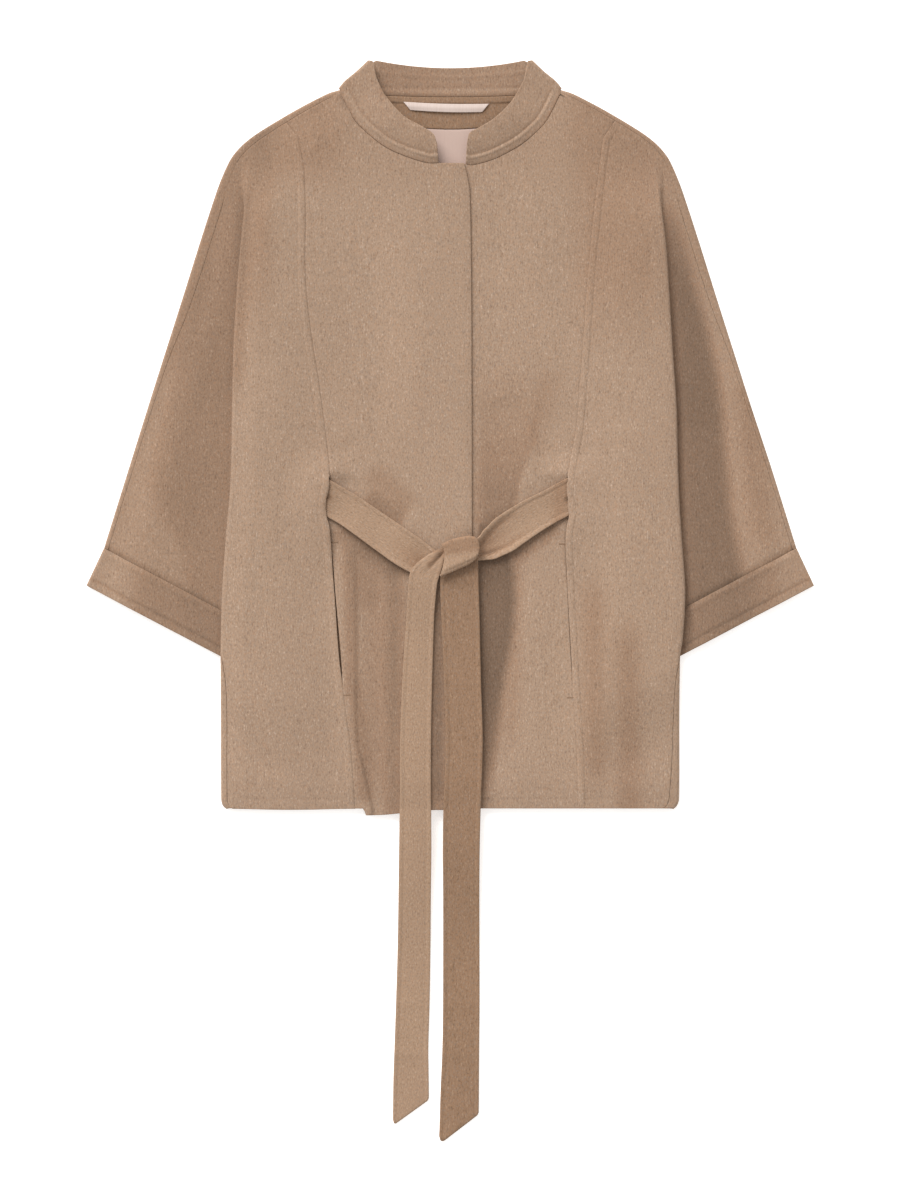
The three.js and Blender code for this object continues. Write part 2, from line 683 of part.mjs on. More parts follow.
// Fills the space between four edges that meet at their corners.
function blend(top, bottom, left, right, share) {
  const columns = top.length - 1;
  return left.map((_, i) =>
    top.map((__, j) => {
      const v = share[i];
      const u = j / columns;
      const p = new THREE.Vector3();
      p.addScaledVector(top[j], 1 - v).addScaledVector(bottom[j], v);
      p.addScaledVector(left[i], 1 - u).addScaledVector(right[i], u);
      p.addScaledVector(top[0], -(1 - u) * (1 - v)).addScaledVector(top[columns], -u * (1 - v));
      p.addScaledVector(bottom[0], -(1 - u) * v).addScaledVector(bottom[columns], -u * v);
      return p;
    }),
  );
}

const flat = (x, y) => new THREE.Vector3(x, y, 0);
const OVER_START = flat(13.6, 645); // the over front's top corner
const UNDER_START = flat(UNDER_FRONT_EDGE, 643.5);
const NECK_COLUMNS = 6;
const FRONT_ROWS = [...ARM_ROWS.slice(0, -1).map((row) => row.princess), ...BODY_ROWS];

// The neck seam's own points, shared by the fronts and the collar.
function neckPoints(side, gap) {
  return spread(NECK[sideName(side)].map((p) => flat(p.x - 0.7 * side * gap, p.y + gap)), NECK_COLUMNS);
}

// The over front's hem hangs lower between the pleat line and its edge.
function overHem(x) {
  return -5.3 * ease((x + 87) / 3);
}

function makeCentreFront(side) {
  const over = side < 0;
  const start = over ? OVER_START : UNDER_START;
  const neck = neckPoints(side, -SEAM / 2);
  const shoulder = [706, ARM_ROWS[0].princess].map((y) => overarmPoint(side, y, SEAM / 2).setZ(0));
  const top = [start, start.clone().lerp(neck[0], 0.5), ...neck, ...shoulder];
  const columns = top.length - 1;
  const rows = FRONT_ROWS.length - 1;
  const seamEdge = FRONT_ROWS.map((y) => flat(side * (princess(side, y) - seamGap(side, y) / 2), y));
  seamEdge[0] = top[columns];
  const hemLow = over ? overHem(OVER_EDGE) : 0;
  const share = FRONT_ROWS.map((y) => (FRONT_ROWS[0] - y) / FRONT_ROWS[0]);
  const frontEdge = share.map((v) => {
    const y = mix(start.y, hemLow, v);
    return flat(over ? column(OVER_FRONT_EDGE, 'x', y) : UNDER_FRONT_EDGE, y);
  });
  frontEdge[0] = start;
  const hem = Array.from({ length: columns + 1 }, (_, j) => {
    const x = mix(frontEdge[rows].x, seamEdge[rows].x, j / columns);
    return flat(x, over ? overHem(x) : 0);
  });
  const grid = blend(top, hem, frontEdge, seamEdge, share);
  grid.flat().forEach((p) => {
    p.z = over ? overHeight(p.x, p.y) : underHeight(p.x, p.y);
  });
  return wall([grid], CLOTH);
}

// ---- The cuffs --------------------------------------------------------------------------------------
function cuffEnd(name, t) {
  const [seam, edge] = [CUFF.seam[name], CUFF.edge[name]];
  return flat(mix(seam.x, edge.x, t), mix(seam.y, edge.y, t));
}

function makeCuff(side) {
  const rows = [0, 0.34, 0.67, 1].map((t) => {
    const outer = cuffEnd('outer', t);
    const inner = cuffEnd('inner', t);
    const along = outer.clone().sub(inner).normalize();
    const from = inner.clone().addScaledVector(along, CLOTH / 2 + TURN);
    const to = outer.clone().addScaledVector(along, -CLOTH / 2 - TURN);
    const drop = t === 0 ? -SEAM * 1.6 : 0;
    const ring = [];
    const arc = (centre, first) => {
      for (let k = 0; k <= BENDS; k += 1) {
        const angle = first + (Math.PI * k) / BENDS;
        const p = centre.clone().addScaledVector(along, TURN * Math.cos(angle));
        p.z = BACK_Z + TURN + TURN * Math.sin(angle);
        ring.push(p);
      }
    };
    arc(to, -Math.PI / 2);
    ring.push(...between(ring[ring.length - 1], from.clone().setZ(FRONT_Z), 4).map((p, k) => {
      p.z += LOFT * 0.7 * Math.sin((Math.PI * (k + 1)) / 5);
      return p;
    }));
    arc(from, Math.PI / 2);
    ring.push(...between(ring[ring.length - 1], ring[0], 3));
    ring.push(ring[0].clone());
    return ring.map((p) => new THREE.Vector3(side * p.x, p.y + drop, p.z));
  });
  return wall([rows], CLOTH);
}

// ---- The collar -------------------------------------------------------------------------------------
// Its free top edge, from the front end to where it folds over the neck's side.
const COLLAR_TOP = {
  left: [
    { x: -13.2, y: 664.5 },
    { x: -17.4, y: 674 },
    { x: -30.7, y: 682.5 },
    { x: -47.2, y: 692.5 },
    { x: -64.2, y: 712 },
    { x: -73.5, y: 730 },
  ],
  right: [
    { x: 16.8, y: 664.5 },
    { x: 19.5, y: 675 },
    { x: 30, y: 681 },
    { x: 44.5, y: 690 },
    { x: 60.5, y: 706 },
    { x: 73.5, y: 728 },
  ],
};
const COLLAR_FOLD = { low: { x: 110.8, y: 720.4 }, high: { x: 77, y: 748.7 } };
const COLLAR_RISE = 5.5; // its top edge stands this far off

function collarFront(side, share) {
  const name = sideName(side);
  const neck = neckPoints(side, SEAM);
  const top = spread(COLLAR_TOP[name].map((p) => flat(p.x, p.y)), NECK_COLUMNS);
  return neck.map((low, k) => {
    const p = low.clone().lerp(top[k], share);
    const base = side < 0 ? overHeight(low.x, low.y) : underHeight(low.x, low.y);
    const firm = base + COLLAR_RISE * Math.sin((share * Math.PI) / 2);
    const atFold = BACK_Z + 2 * mix(TURN, 2 * TURN, share);
    p.z = mix(firm, atFold, ease((k - NECK_COLUMNS + 3) / 3));
    return p;
  });
}

function collarFold(side, share) {
  const { low, high } = COLLAR_FOLD;
  const edge = flat(mix(low.x, high.x, share), mix(low.y, high.y, share));
  const out = flat(high.y - low.y, low.x - high.x).normalize();
  const radius = mix(TURN, 2 * TURN, share);
  const centre = edge.clone().addScaledVector(out, -CLOTH / 2 - radius);
  return Array.from({ length: BENDS + 1 }, (_, k) => {
    const angle = Math.PI / 2 - (Math.PI * k) / BENDS;
    const p = centre.clone().addScaledVector(out, radius * Math.cos(angle));
    p.z = BACK_Z + radius + radius * Math.sin(angle);
    p.x *= side;
    return p;
  });
}

function makeCollar() {
  const rows = [0, 0.2, 0.45, 0.72, 1].map((share) => {
    const left = [...collarFront(-1, share), ...collarFold(-1, share)];
    const right = [...collarFront(1, share), ...collarFold(1, share)];
    const from = left[left.length - 1];
    const to = right[right.length - 1];
    const back = between(from, to, 7);
    back.forEach((p) => {
      const half = Math.abs(p.x);
      const low = backNeck(half) + SEAM;
      const high = 741.5 + 7 * (half / 77) ** 2;
      p.y = mix(low, high, share);
    });
    return [...left, ...back, ...right.reverse()];
  });
  return wall([rows], CLOTH);
}

// ---- Inside the neck --------------------------------------------------------------------------------
const ON_BACK = CLOTH + SEAM;
const LINING_LOW = 612; // where the lining passes out of sight
const facingEdge = (x) => 680 + 0.0016 * x * x;

function makeNeckFacing() {
  const halves = Array.from({ length: 15 }, (_, k) => -98 + 14 * k);
  const rows = [0, 0.33, 0.66, 1].map((t) =>
    halves.map((x) => {
      const high = backNeck(Math.abs(x)) - 1;
      return new THREE.Vector3(x, mix(high, facingEdge(x), t), ON_BACK + FACING_CLOTH / 2);
    }),
  );
  return wall([rows], FACING_CLOTH);
}

function makeLining() {
  const across = [-76, -50, -25, 0, 25, 50, 76];
  const rows = [0, 0.33, 0.66, 1].map((t) =>
    across.map((x) => {
      const y = mix(facingEdge(x) - SEAM, LINING_LOW, t);
      return new THREE.Vector3(x, y, ON_BACK + LINING_CLOTH / 2);
    }),
  );
  return wall([rows], LINING_CLOTH);
}

function makeHangerLoop() {
  const thickness = 1.2;
  const rest = ON_BACK + FACING_CLOTH + SEAM + thickness / 2;
  const rows = Array.from({ length: 9 }, (_, k) => {
    const t = k / 8;
    const bow = Math.sin(Math.PI * t);
    const x = mix(-45, 37, t);
    const y = mix(704.5, 702.5, t) - 3.5 * bow;
    return [4, 0, -4].map((off) => new THREE.Vector3(x, y + off, rest + 0.7 * bow));
  });
  return wall([rows], thickness);
}

// ---- The pockets' facings: strips under the mouths, from the front's own heights --------------------
function makePocketFacing(side) {
  const under = CLOTH / 2 + SEAM + LINING_CLOTH / 2 + 0.25;
  const rows = Array.from({ length: 8 }, (_, i) => {
    const y = mix(272, 106, i / 7);
    return [-13, -5, 3, 11].map((off) => {
      const half = princess(side, y) + off;
      return new THREE.Vector3(side * half, y, frontHeight(side, half, y) - under);
    });
  });
  return wall([rows], LINING_CLOTH);
}

// ---- The belt ---------------------------------------------------------------------------------------
const ACROSS_BELT = [-1, -0.5, 0, 0.5, 1];

// A band along a line: each station gives its middle, its width and how far it stands off the cloth.
function band(stations, height) {
  const middles = stations.map((s) => flat(s.x, s.y));
  const rows = stations.map((s, k) => {
    const ahead = middles[Math.min(k + 1, middles.length - 1)];
    const behind = middles[Math.max(k - 1, 0)];
    const along = ahead.clone().sub(behind).normalize();
    const across = flat(-along.y, along.x);
    return ACROSS_BELT.map((share) => {
      const p = middles[k].clone().addScaledVector(across, (share * s.width) / 2);
      p.z = height(p.x, p.y) + (s.dish || 0) * share * share;
      return p;
    });
  });
  return wall([rows], BELT_CLOTH);
}

const STRAP_LEFT = [
  { x: -142, y: 321.8, width: 36 },
  { x: -134, y: 316.9, width: 36 },
  { x: -126, y: 312, width: 36 },
  { x: -116, y: 305.9, width: 36 },
  { x: -100, y: 296.2, width: 36 },
  { x: -82, y: 285.2, width: 36 },
  { x: -64, y: 274.2, width: 35, dish: 0.6 },
  { x: -46, y: 263.2, width: 34, dish: 1 },
  { x: -30, y: 253.4, width: 32, dish: 1 },
  { x: -17.5, y: 248, width: 27, dish: 1 },
];
const STRAP_RIGHT = [
  { x: 139, y: 320.8, width: 36 },
  { x: 131, y: 316.5, width: 36 },
  { x: 123, y: 312, width: 36 },
  { x: 113, y: 306.5, width: 37 },
  { x: 98, y: 298, width: 38 },
  { x: 81.6, y: 289, width: 38 },
  { x: 66, y: 279, width: 36, dish: 0.8 },
  { x: 52, y: 269.5, width: 32, dish: 1.4 },
  { x: 41, y: 262.5, width: 26, dish: 1.8 },
  { x: 32, y: 258.6, width: 20, dish: 1.6 },
];
const HIDDEN_STRAP_Z = 6.8; // the strap's end inside the coat, on the belt's run round the back
const BACK_RUN_Z = CLOTH + SEAM + BELT_CLOTH / 2;

function strapHeight(x, y) {
  const inside = Math.abs(x) - princess(Math.sign(x), y);
  return mix(coverHeight(x, y) + ON_PANEL + 0.1, HIDDEN_STRAP_Z, ease((inside - 3) / 16));
}

function makeBackRun() {
  const rows = [-144, -96, -48, 0, 48, 96, 144].map((x) =>
    ACROSS_BELT.map((share) => new THREE.Vector3(x, 330 - 18 * share, BACK_RUN_Z)),
  );
  return wall([rows], BELT_CLOTH);
}

// The knot's band, wound once round the crossed ends: its corners and the depth of its winding.
const KNOT = {
  left: -10.5,
  right: 26.5,
  topLeft: 263.5,
  topRight: 271,
  lowLeft: 231.5,
  lowRight: 247.5,
  depth: 3.1,
  steps: 6,
};

function makeKnot() {
  const middle = coverHeight(0, 250) + ON_PANEL + KNOT.depth + 0.4;
  const rows = [0, 0.25, 0.5, 0.75, 1].map((t) => {
    const x = mix(KNOT.left, KNOT.right, t);
    const crown = 0.9 * Math.sin(Math.PI * t);
    const high = mix(KNOT.topLeft, KNOT.topRight, t) - BELT_CLOTH / 2 - KNOT.depth;
    const low = mix(KNOT.lowLeft, KNOT.lowRight, t) + BELT_CLOTH / 2 + KNOT.depth;
    const ring = [];
    const arc = (y, first) => {
      for (let k = 0; k <= KNOT.steps; k += 1) {
        const angle = first + (Math.PI * k) / KNOT.steps;
        const z = middle + KNOT.depth * Math.sin(angle);
        ring.push(new THREE.Vector3(x, y + KNOT.depth * Math.cos(angle), z));
      }
    };
    arc(high, -Math.PI / 2);
    arc(low, Math.PI / 2);
    ring.forEach((p) => {
      p.z += p.z > middle ? crown : 0;
    });
    ring.push(ring[0].clone());
    return ring;
  });
  return wall([rows], BELT_CLOTH);
}

// The tails' edges at heights above the hem, down to their slanted ends.
const TAIL_LEFT = {
  root: 4.1,
  ends: { left: -314, right: -289 },
  rows: [
    { y: 244, left: -36, right: -14.5 },
    { y: 236, left: -40, right: -14 },
    { y: 226, left: -41.4, right: -14.4 },
    { y: 188, left: -43.8, right: -16.3 },
    { y: 130, left: -47.5, right: -18 },
    { y: 68, left: -49.8, right: -19.2 },
    { y: 20, left: -49.9, right: -19.3 },
    { y: -4, left: -50, right: -19.4 },
    { y: -16, left: -50.1, right: -19.4 },
    { y: -28, left: -50.3, right: -19.5 },
    { y: -42, left: -50.5, right: -19.6 },
    { y: -110, left: -51.5, right: -20 },
    { y: -180, left: -52.6, right: -20.5 },
    { y: -250, left: -55.5, right: -22 },
    { y: -300, left: -57.6, right: -21.4 },
  ],
};
const TAIL_RIGHT = {
  root: 0,
  ends: { left: -330.5, right: -303.5 },
  rows: [
    { y: 229, left: -10.4, right: 26 },
    { y: 218, left: -9.9, right: 26.8 },
    { y: 188, left: -8.6, right: 28.3 },
    { y: 130, left: -6.2, right: 30.6 },
    { y: 68, left: -4.4, right: 32.4 },
    { y: 20, left: -5.8, right: 31 },
    { y: -4, left: -6.4, right: 30.4 },
    { y: -16, left: -6.4, right: 30.3 },
    { y: -28, left: -6.4, right: 30.2 },
    { y: -42, left: -6.4, right: 30 },
    { y: -110, left: -6.3, right: 29.5 },
    { y: -180, left: -6.6, right: 29.2 },
    { y: -250, left: -7.5, right: 28.8 },
    { y: -312, left: -11, right: 28.3 },
  ],
};

function makeTail(tail) {
  const count = tail.rows.length;
  const rows = tail.rows.map((row, i) =>
    [0, 0.25, 0.5, 0.75, 1].map((t) => {
      const x = mix(row.left, row.right, t);
      const end = mix(tail.ends.left, tail.ends.right, t);
      const y = i === count - 1 ? end : row.y;
      const over = coverHeight(Math.min(x, 20), Math.max(y, 0)) + ON_PANEL + 0.1;
      const lifted = over + tail.root * ease((y - 208) / 16);
      return new THREE.Vector3(x, y, mix(lifted, BELT_CLOTH / 2, ease((-y - 9) / 34)));
    }),
  );
  return wall([rows], BELT_CLOTH);
}

// ---- The coat ---------------------------------------------------------------------------------------
const wool = new THREE.MeshStandardMaterial({ color: '#b0927a', roughness: 0.92, metalness: 0 });
const beltWool = new THREE.MeshStandardMaterial({ color: '#b49276', roughness: 0.92, metalness: 0 });
const liningSatin = new THREE.MeshStandardMaterial({ color: '#cbafa3', roughness: 0.45, metalness: 0 });
const loopTape = new THREE.MeshStandardMaterial({ color: '#e4d2c6', roughness: 0.6, metalness: 0 });

const pieces = [
  ['back', makeBack(), wool],
  ['side_front_right', makeSideFront(-1), wool],
  ['side_front_left', makeSideFront(1), wool],
  ['front_right', makeCentreFront(-1), wool],
  ['front_left', makeCentreFront(1), wool],
  ['cuff_right', makeCuff(-1), wool],
  ['cuff_left', makeCuff(1), wool],
  ['collar', makeCollar(), wool],
  ['neck_facing', makeNeckFacing(), wool],
  ['hanger_loop', makeHangerLoop(), loopTape],
  ['lining', makeLining(), liningSatin],
  ['pocket_facing_right', makePocketFacing(-1), wool],
  ['pocket_facing_left', makePocketFacing(1), wool],
  ['belt_strap_right', band(STRAP_LEFT, strapHeight), beltWool],
  ['belt_strap_left', band(STRAP_RIGHT, strapHeight), beltWool],
  ['belt_back', makeBackRun(), beltWool],
  ['belt_knot', makeKnot(), beltWool],
  ['belt_tail_right', makeTail(TAIL_LEFT), beltWool],
  ['belt_tail_left', makeTail(TAIL_RIGHT), beltWool],
];

const coat = new THREE.Group();
for (const [name, geometry, material] of pieces) {
  const mesh = new THREE.Mesh(geometry, material);
  mesh.name = name;
  coat.add(mesh);
}

// The origin is under the middle of the coat's box, on the table.
const box = new THREE.Box3().setFromObject(coat);
const middle = box.getCenter(new THREE.Vector3());
coat.position.set(-middle.x, -middle.y, -box.min.z);

export default coat;
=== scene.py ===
"""A short wool coat with kimono sleeves, a band collar and a tie belt, laid flat with its front up.

A piece is worked out in millimetres: x runs across the coat from its centre line, y runs up from the hem and
z runs up from the table. The pieces and the belt's tables are named by the wearer's sides; elsewhere "left"
and "right" are as the laid coat shows them, so left is the wearer's right side. Every mesh is moved into the
row frame, in metres, as it is made.
"""
import sys
import logging
import math
from collections.abc import Sequence
from dataclasses import dataclass, field
from enum import Enum

import bpy
import numpy as np
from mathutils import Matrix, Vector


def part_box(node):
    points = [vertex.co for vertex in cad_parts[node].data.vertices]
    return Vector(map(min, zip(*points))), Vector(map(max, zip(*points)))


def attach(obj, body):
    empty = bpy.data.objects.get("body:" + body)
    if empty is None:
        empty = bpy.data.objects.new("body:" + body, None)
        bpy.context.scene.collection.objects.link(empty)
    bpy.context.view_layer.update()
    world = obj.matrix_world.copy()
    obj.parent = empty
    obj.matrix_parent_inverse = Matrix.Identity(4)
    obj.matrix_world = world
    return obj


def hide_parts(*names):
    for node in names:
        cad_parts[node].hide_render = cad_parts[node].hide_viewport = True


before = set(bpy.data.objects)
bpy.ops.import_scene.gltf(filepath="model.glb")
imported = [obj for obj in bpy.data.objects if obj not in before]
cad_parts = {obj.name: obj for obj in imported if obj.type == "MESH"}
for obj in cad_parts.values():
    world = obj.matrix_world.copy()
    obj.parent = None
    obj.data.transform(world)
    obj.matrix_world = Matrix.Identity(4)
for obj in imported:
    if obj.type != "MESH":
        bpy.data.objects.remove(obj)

Array = np.ndarray
Number = Array | float
Pair = tuple[float, float]
Triple = tuple[float, float, float]
Quad = tuple[float, float, float, float]

MM = 1000  # millimetres in a metre
LOG = logging.getLogger("wool_coat")
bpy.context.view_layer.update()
SEED = 11


# ---- Arithmetic ------------------------------------------------------------------------------------------
def mix(a: Number, b: Number, t: Number) -> Number:
    """Goes from a to b as t goes from 0 to 1."""
    return a + (b - a) * t


def ease(t: Number) -> Number:
    """A smooth step from 0 to 1."""
    k = np.clip(t, 0, 1)
    return k * k * (3 - 2 * k)


def bell(distance: Number, width: float) -> Number:
    """A smooth hump of height 1 over a distance of nothing."""
    return np.exp(-((distance / width) ** 2))


@dataclass(frozen=True)
class Ramp:
    """A smooth step from 0 to 1, by its start and its length: it falls where the length is under nothing."""

    start: float
    length: float

    def at(self, place: Number) -> Number:
        """The step's height at a place."""
        return ease((place - self.start) / self.length)


@dataclass(frozen=True)
class Hump:
    """A smooth hump, by its middle, its width and its height."""

    middle: float
    width: float
    rise: float = 1.0

    def at(self, place: Number) -> Number:
        """The hump's height at a place."""
        return self.rise * bell(place - self.middle, self.width)


def graded(*stops: tuple[float, int]) -> Array:
    """Values that run evenly between stops.

    Args:
        stops: each a value and the number of steps from it to the next; the last number is not used.

    Returns:
        All the values, from the first stop to the last.
    """
    runs = [
        np.linspace(value, stops[i + 1][0], steps, endpoint=False)
        for i, (value, steps) in enumerate(stops[:-1])
    ]
    return np.concatenate([*runs, [stops[-1][0]]])


def refine(rows: Array, factor: int) -> Array:
    """Puts factor - 1 rows between each two, on a smooth curve through them all.

    Args:
        rows: values by row, along the first axis.
        factor: how many steps each step becomes.

    Returns:
        The finer rows.
    """
    rows = np.asarray(rows, dtype=float)
    padded = np.concatenate([[2 * rows[0] - rows[1]], rows, [2 * rows[-1] - rows[-2]]])
    t = (np.arange(factor) / factor).reshape((-1,) + (1,) * (rows.ndim - 1))
    out = []
    for before, a, b, after in zip(padded, padded[1:], padded[2:], padded[3:]):
        curve = (b - before) * t + (2 * before - 5 * a + 4 * b - after) * t**2
        out.append(a + 0.5 * (curve + (3 * (a - b) + after - before) * t**3))
    return np.concatenate([*out, rows[-1:]])


def refine_straight(rows: Array, factor: int) -> Array:
    """Puts factor - 1 rows between each two, on straight lines.

    Args:
        rows: a row of points for each entry.
        factor: how many steps each one becomes.

    Returns:
        The rows' points.
    """
    t = (np.arange(factor) / factor).reshape((-1,) + (1,) * (rows.ndim - 1))
    out = [mix(a, b, t) for a, b in zip(rows, rows[1:])]
    return np.concatenate([*out, rows[-1:]])


class SizeTable:
    """Sizes in named columns at falling heights, read with smooth slopes between the rows."""

    STEPS = 24

    def __init__(self, names: str, rows: Sequence[Sequence[float]]) -> None:
        """Works out the smooth curve through each column.

        Args:
            names: the columns' names after the height, with spaces between them.
            rows: the height and the columns' values, from the highest row to the lowest.
        """
        self.rows = np.array(rows, dtype=float)
        self._names = names.split()
        height = self.rows[:, 0]
        index = np.arange(len(height))
        above = np.maximum(index - 1, 0)
        below = np.minimum(index + 1, index[-1])
        slopes = (self.rows[below] - self.rows[above]) / (height[below] - height[above])[:, None]
        t = np.linspace(0, 1, self.STEPS, endpoint=False)[:, None]
        curve = []
        for i in index[:-1]:
            step = height[i + 1] - height[i]
            leave = t * (1 - t) ** 2 * step * slopes[i]
            arrive = t * t * (1 - t) * step * slopes[i + 1]
            curve.append(mix(self.rows[i], self.rows[i + 1], ease(t)) + leave - arrive)
        self._dense = np.vstack([*curve, self.rows[-1:]])[::-1]

    def read(self, name: str, y: Number) -> Number:
        """One column's value at a height."""
        values = self._dense[:, 1 + self._names.index(name)]
        return np.interp(y, self._dense[:, 0], values)

    def beside(self, x: Number, y: Number) -> Number:
        """The left or the right column's value, by which side of the centre line x is on."""
        return np.where(np.asarray(x) < 0, self.read("left", y), self.read("right", y))


@dataclass(frozen=True)
class Fold:
    """A soft ridge or hollow in the laid cloth: from one point to another, half width and height."""

    x0: float
    y0: float
    x1: float
    y1: float
    width: float
    rise: float

    def height(self, x: Array, y: Array) -> Array:
        """How far the cloth rises at a place because of this fold.

        Args:
            x: how far across from the centre line.
            y: height above the hem.

        Returns:
            How far, at each place.
        """
        ax, ay = self.x1 - self.x0, self.y1 - self.y0
        dx, dy = x - self.x0, y - self.y0
        t = (dx * ax + dy * ay) / (ax * ax + ay * ay)
        held = np.clip(t, 0, 1)
        off = np.hypot(dx - held * ax, dy - held * ay)
        fade = ease(np.minimum(t, 1 - t) / 0.2 + 0.3)
        return self.rise * fade * (1 - ease(off / (2 * self.width)))


# ---- Outlines and seams: half widths from the centre line at heights above the hem -----------------------
ARM_EDGE = SizeTable("half", (
    (722, 101), (719.4, 110), (716.6, 120.3), (709.8, 134.5), (698.5, 155.7), (678.5, 189.2),
    (668.5, 203.2), (658.5, 213.6), (648.5, 220.8), (628.5, 229.9), (608.5, 237), (568.5, 250),
    (508.5, 268.8), (418.5, 297.4), (259, 347.2),
))
# The body's side, folded over the sleeve down to the cuff and free below it.
BODY_EDGE = SizeTable("left right", (
    (690, 196, 198), (658, 204, 208), (633, 206.4, 210.2), (606, 205.6, 210.8), (564, 209.4, 215.3),
    (520, 213, 218.5), (460, 216.6, 222.1), (402, 217.9, 226), (340, 219, 227.7), (308, 221, 229),
    (272, 224.2, 231.2), (218, 227.8, 234.8), (172, 229.3, 232.6), (150, 229.5, 229.6), (10, 229.5, 229.2),
    (3, 228, 227.3), (0, 224.5, 224),
))
# The seam down the top of the sleeve, as a distance in from the sleeve's outer edge.
OVERARM_SEAM = SizeTable("left right", (
    (722, 5, 4.4), (676, 7, 4.4), (650, 7.5, 5), (595, 10.5, 8.5), (507, 10, 8), (444, 5.5, 4.8),
    (259, 4.6, 4.4),
))
PRINCESS_SEAM = SizeTable("left right", (
    (694, 154.5, 158.5), (666, 151.2, 152.6), (643, 146.6, 149.2), (603, 144.8, 144.6), (532, 144.8, 137.6),
    (478, 139.5, 133.8), (420, 130.5, 129.5), (378, 125, 125.8), (329, 120.4, 116.9), (303, 124.4, 117.6),
    (292, 123.6, 118.8), (282, 120.8, 116.4), (265, 119.2, 115.2), (114, 106.6, 123), (61, 99.5, 126.5),
    (0, 95, 128.2),
))
OVER_FRONT_EDGE = SizeTable("x", ((645, 13.8), (631, 17.2), (614, 19.5), (496, 21.2), (0, 22)))
# The body's side seam, as the length of cloth from the folded edge: less than nothing is underneath.
SIDE_SEAM = SizeTable("left right", (
    (378.5, -28, -30), (371, -28, -31), (362, -24, -27), (340, -14, -15), (318, -5, -5), (300, -0.5, -0.5),
    (170, -0.5, -0.5), (120, 6, 5), (45, 6.5, 8), (0, 6.5, 11),
))
# How the cloth beside the armpit folds: its turn in degrees and the flat length between its two bends.
ARM_TUCK = SizeTable("turn flat", (
    (700, 0, 1), (634, 4, 1), (620, 40, 3), (605, 80, 3.6), (588, 122, 3), (568, 155, 3.6), (548, 170, 6),
    (524, 178, 12), (500, 180, 17), (378, 180, 20.5),
))
SLEEVE_UNDER_EDGE = SizeTable("half", ((378.5, 196.2), (174, 186.4)))
# Where the sleeve's inner edge has points, as angles round its fold, from its top face.
UNDER_ANGLES = np.array([0.3, 0.55, 0.85, 1.2, math.pi / 2])
CUFF_SEAM = ((186.4, 175.1), (346.8, 260.5))
CUFF_EDGE = ((187.0, 129.6), (364.4, 223.0))
# Rows of the side front down to the underarm: heights at the princess seam, the fold and the over-arm seam.
ARM_ROWS = np.array((
    (692, 664, 650), (671, 648, 633), (652, 634, 618), (635, 620, 604), (617, 605, 590), (597, 588, 575),
    (575, 568, 558), (552, 547, 540), (525, 522, 519), (492, 491, 493), (455, 455, 466), (416, 416, 436),
    (378.5, 378.5, 404),
))
# Rows of the back down to the underarm: heights at the centre and at the over-arm seam.
BACK_ROWS = np.array((
    (712, 720.8), (702, 706), (690, 692), (675, 671), (657, 650), (640, 633), (624, 618), (608, 604),
    (592, 590), (576, 575), (558, 558), (539, 540), (516, 519), (488, 493), (455, 466), (418, 436),
    (378.5, 404),
))
# Rows of the sleeve from the underarm to the cuff: heights at its outer and inner edges.
SLEEVE_ROWS = np.array((
    (404, 378.5), (397, 371), (388, 362), (368, 338), (343, 305), (316, 262), (288, 218), (260.5, 175.5),
))
NECK_SEAM = {
    -1: (
        (-11.8, 645.2), (-24, 645.4), (-44, 651.5), (-64.2, 661), (-82, 674.5), (-97.2, 690.5),
        (-110.8, 716.2),
    ),
    1: ((15.5, 644.5), (24, 643.8), (45, 650), (68.8, 662.5), (84, 674.5), (96.8, 688.5), (110.8, 716.2)),
}
# The line of the pleat in the over front, from under the belt to the hem, and how high its fold stands.
PLEAT = SizeTable("x rise", (
    (268, -97, 0), (240, -96.5, 1.2), (160, -95.6, 1.6), (68, -95, 1.8), (46, -90, 2.0), (19, -84, 2.3),
    (0, -79.5, 2.5),
))
# How far beyond the body's fold the hollow in the right sleeve lies.
SLEEVE_HOLLOW = SizeTable("off", (
    (640, 8), (598, 13), (515, 26), (442, 40), (372, 45), (289, 50), (244, 56),
))
# The faint line of the turned hem, by the height above its edge.
JOINING = (0, 0.34, 0.67)  # where the rows between an upper and a lower grid lie, as shares
HEM_LINE = Hump(9.5, 1.1, -0.2)
FOLDS = (
    Fold(56, 240, 46, 20, 13, -1.3),  # hollow right of the tails
    Fold(-124, 311, -16, 249, 17, -1.8),  # where the belt presses the coat in
    Fold(16, 252, 122, 311, 17, -1.8),
    Fold(-112, 250, -100, 10, 11, 1.2),  # roll left of the pleat
    Fold(-84, 262, -66, 0, 9, -1.4),  # hollow inside the pleat
    Fold(50, 410, 50, 300, 18, -1.6),  # hollow over the belt, right of the front edge
    Fold(100, 424, 76, 312, 12, 0.3),  # and the ridge beside it
    Fold(-104, 372, -44, 284, 14, -1.1),  # drag above the left strap
    Fold(92, 230, 96, 30, 26, 0.6),
    Fold(148, 116, 140, 6, 12, 1.2),  # side rolls above the hem
    Fold(164, 112, 160, 6, 8, -0.9),
    Fold(186, 112, 182, 6, 12, 1.2),
    Fold(-160, 120, -170, 6, 16, 1.0),
)
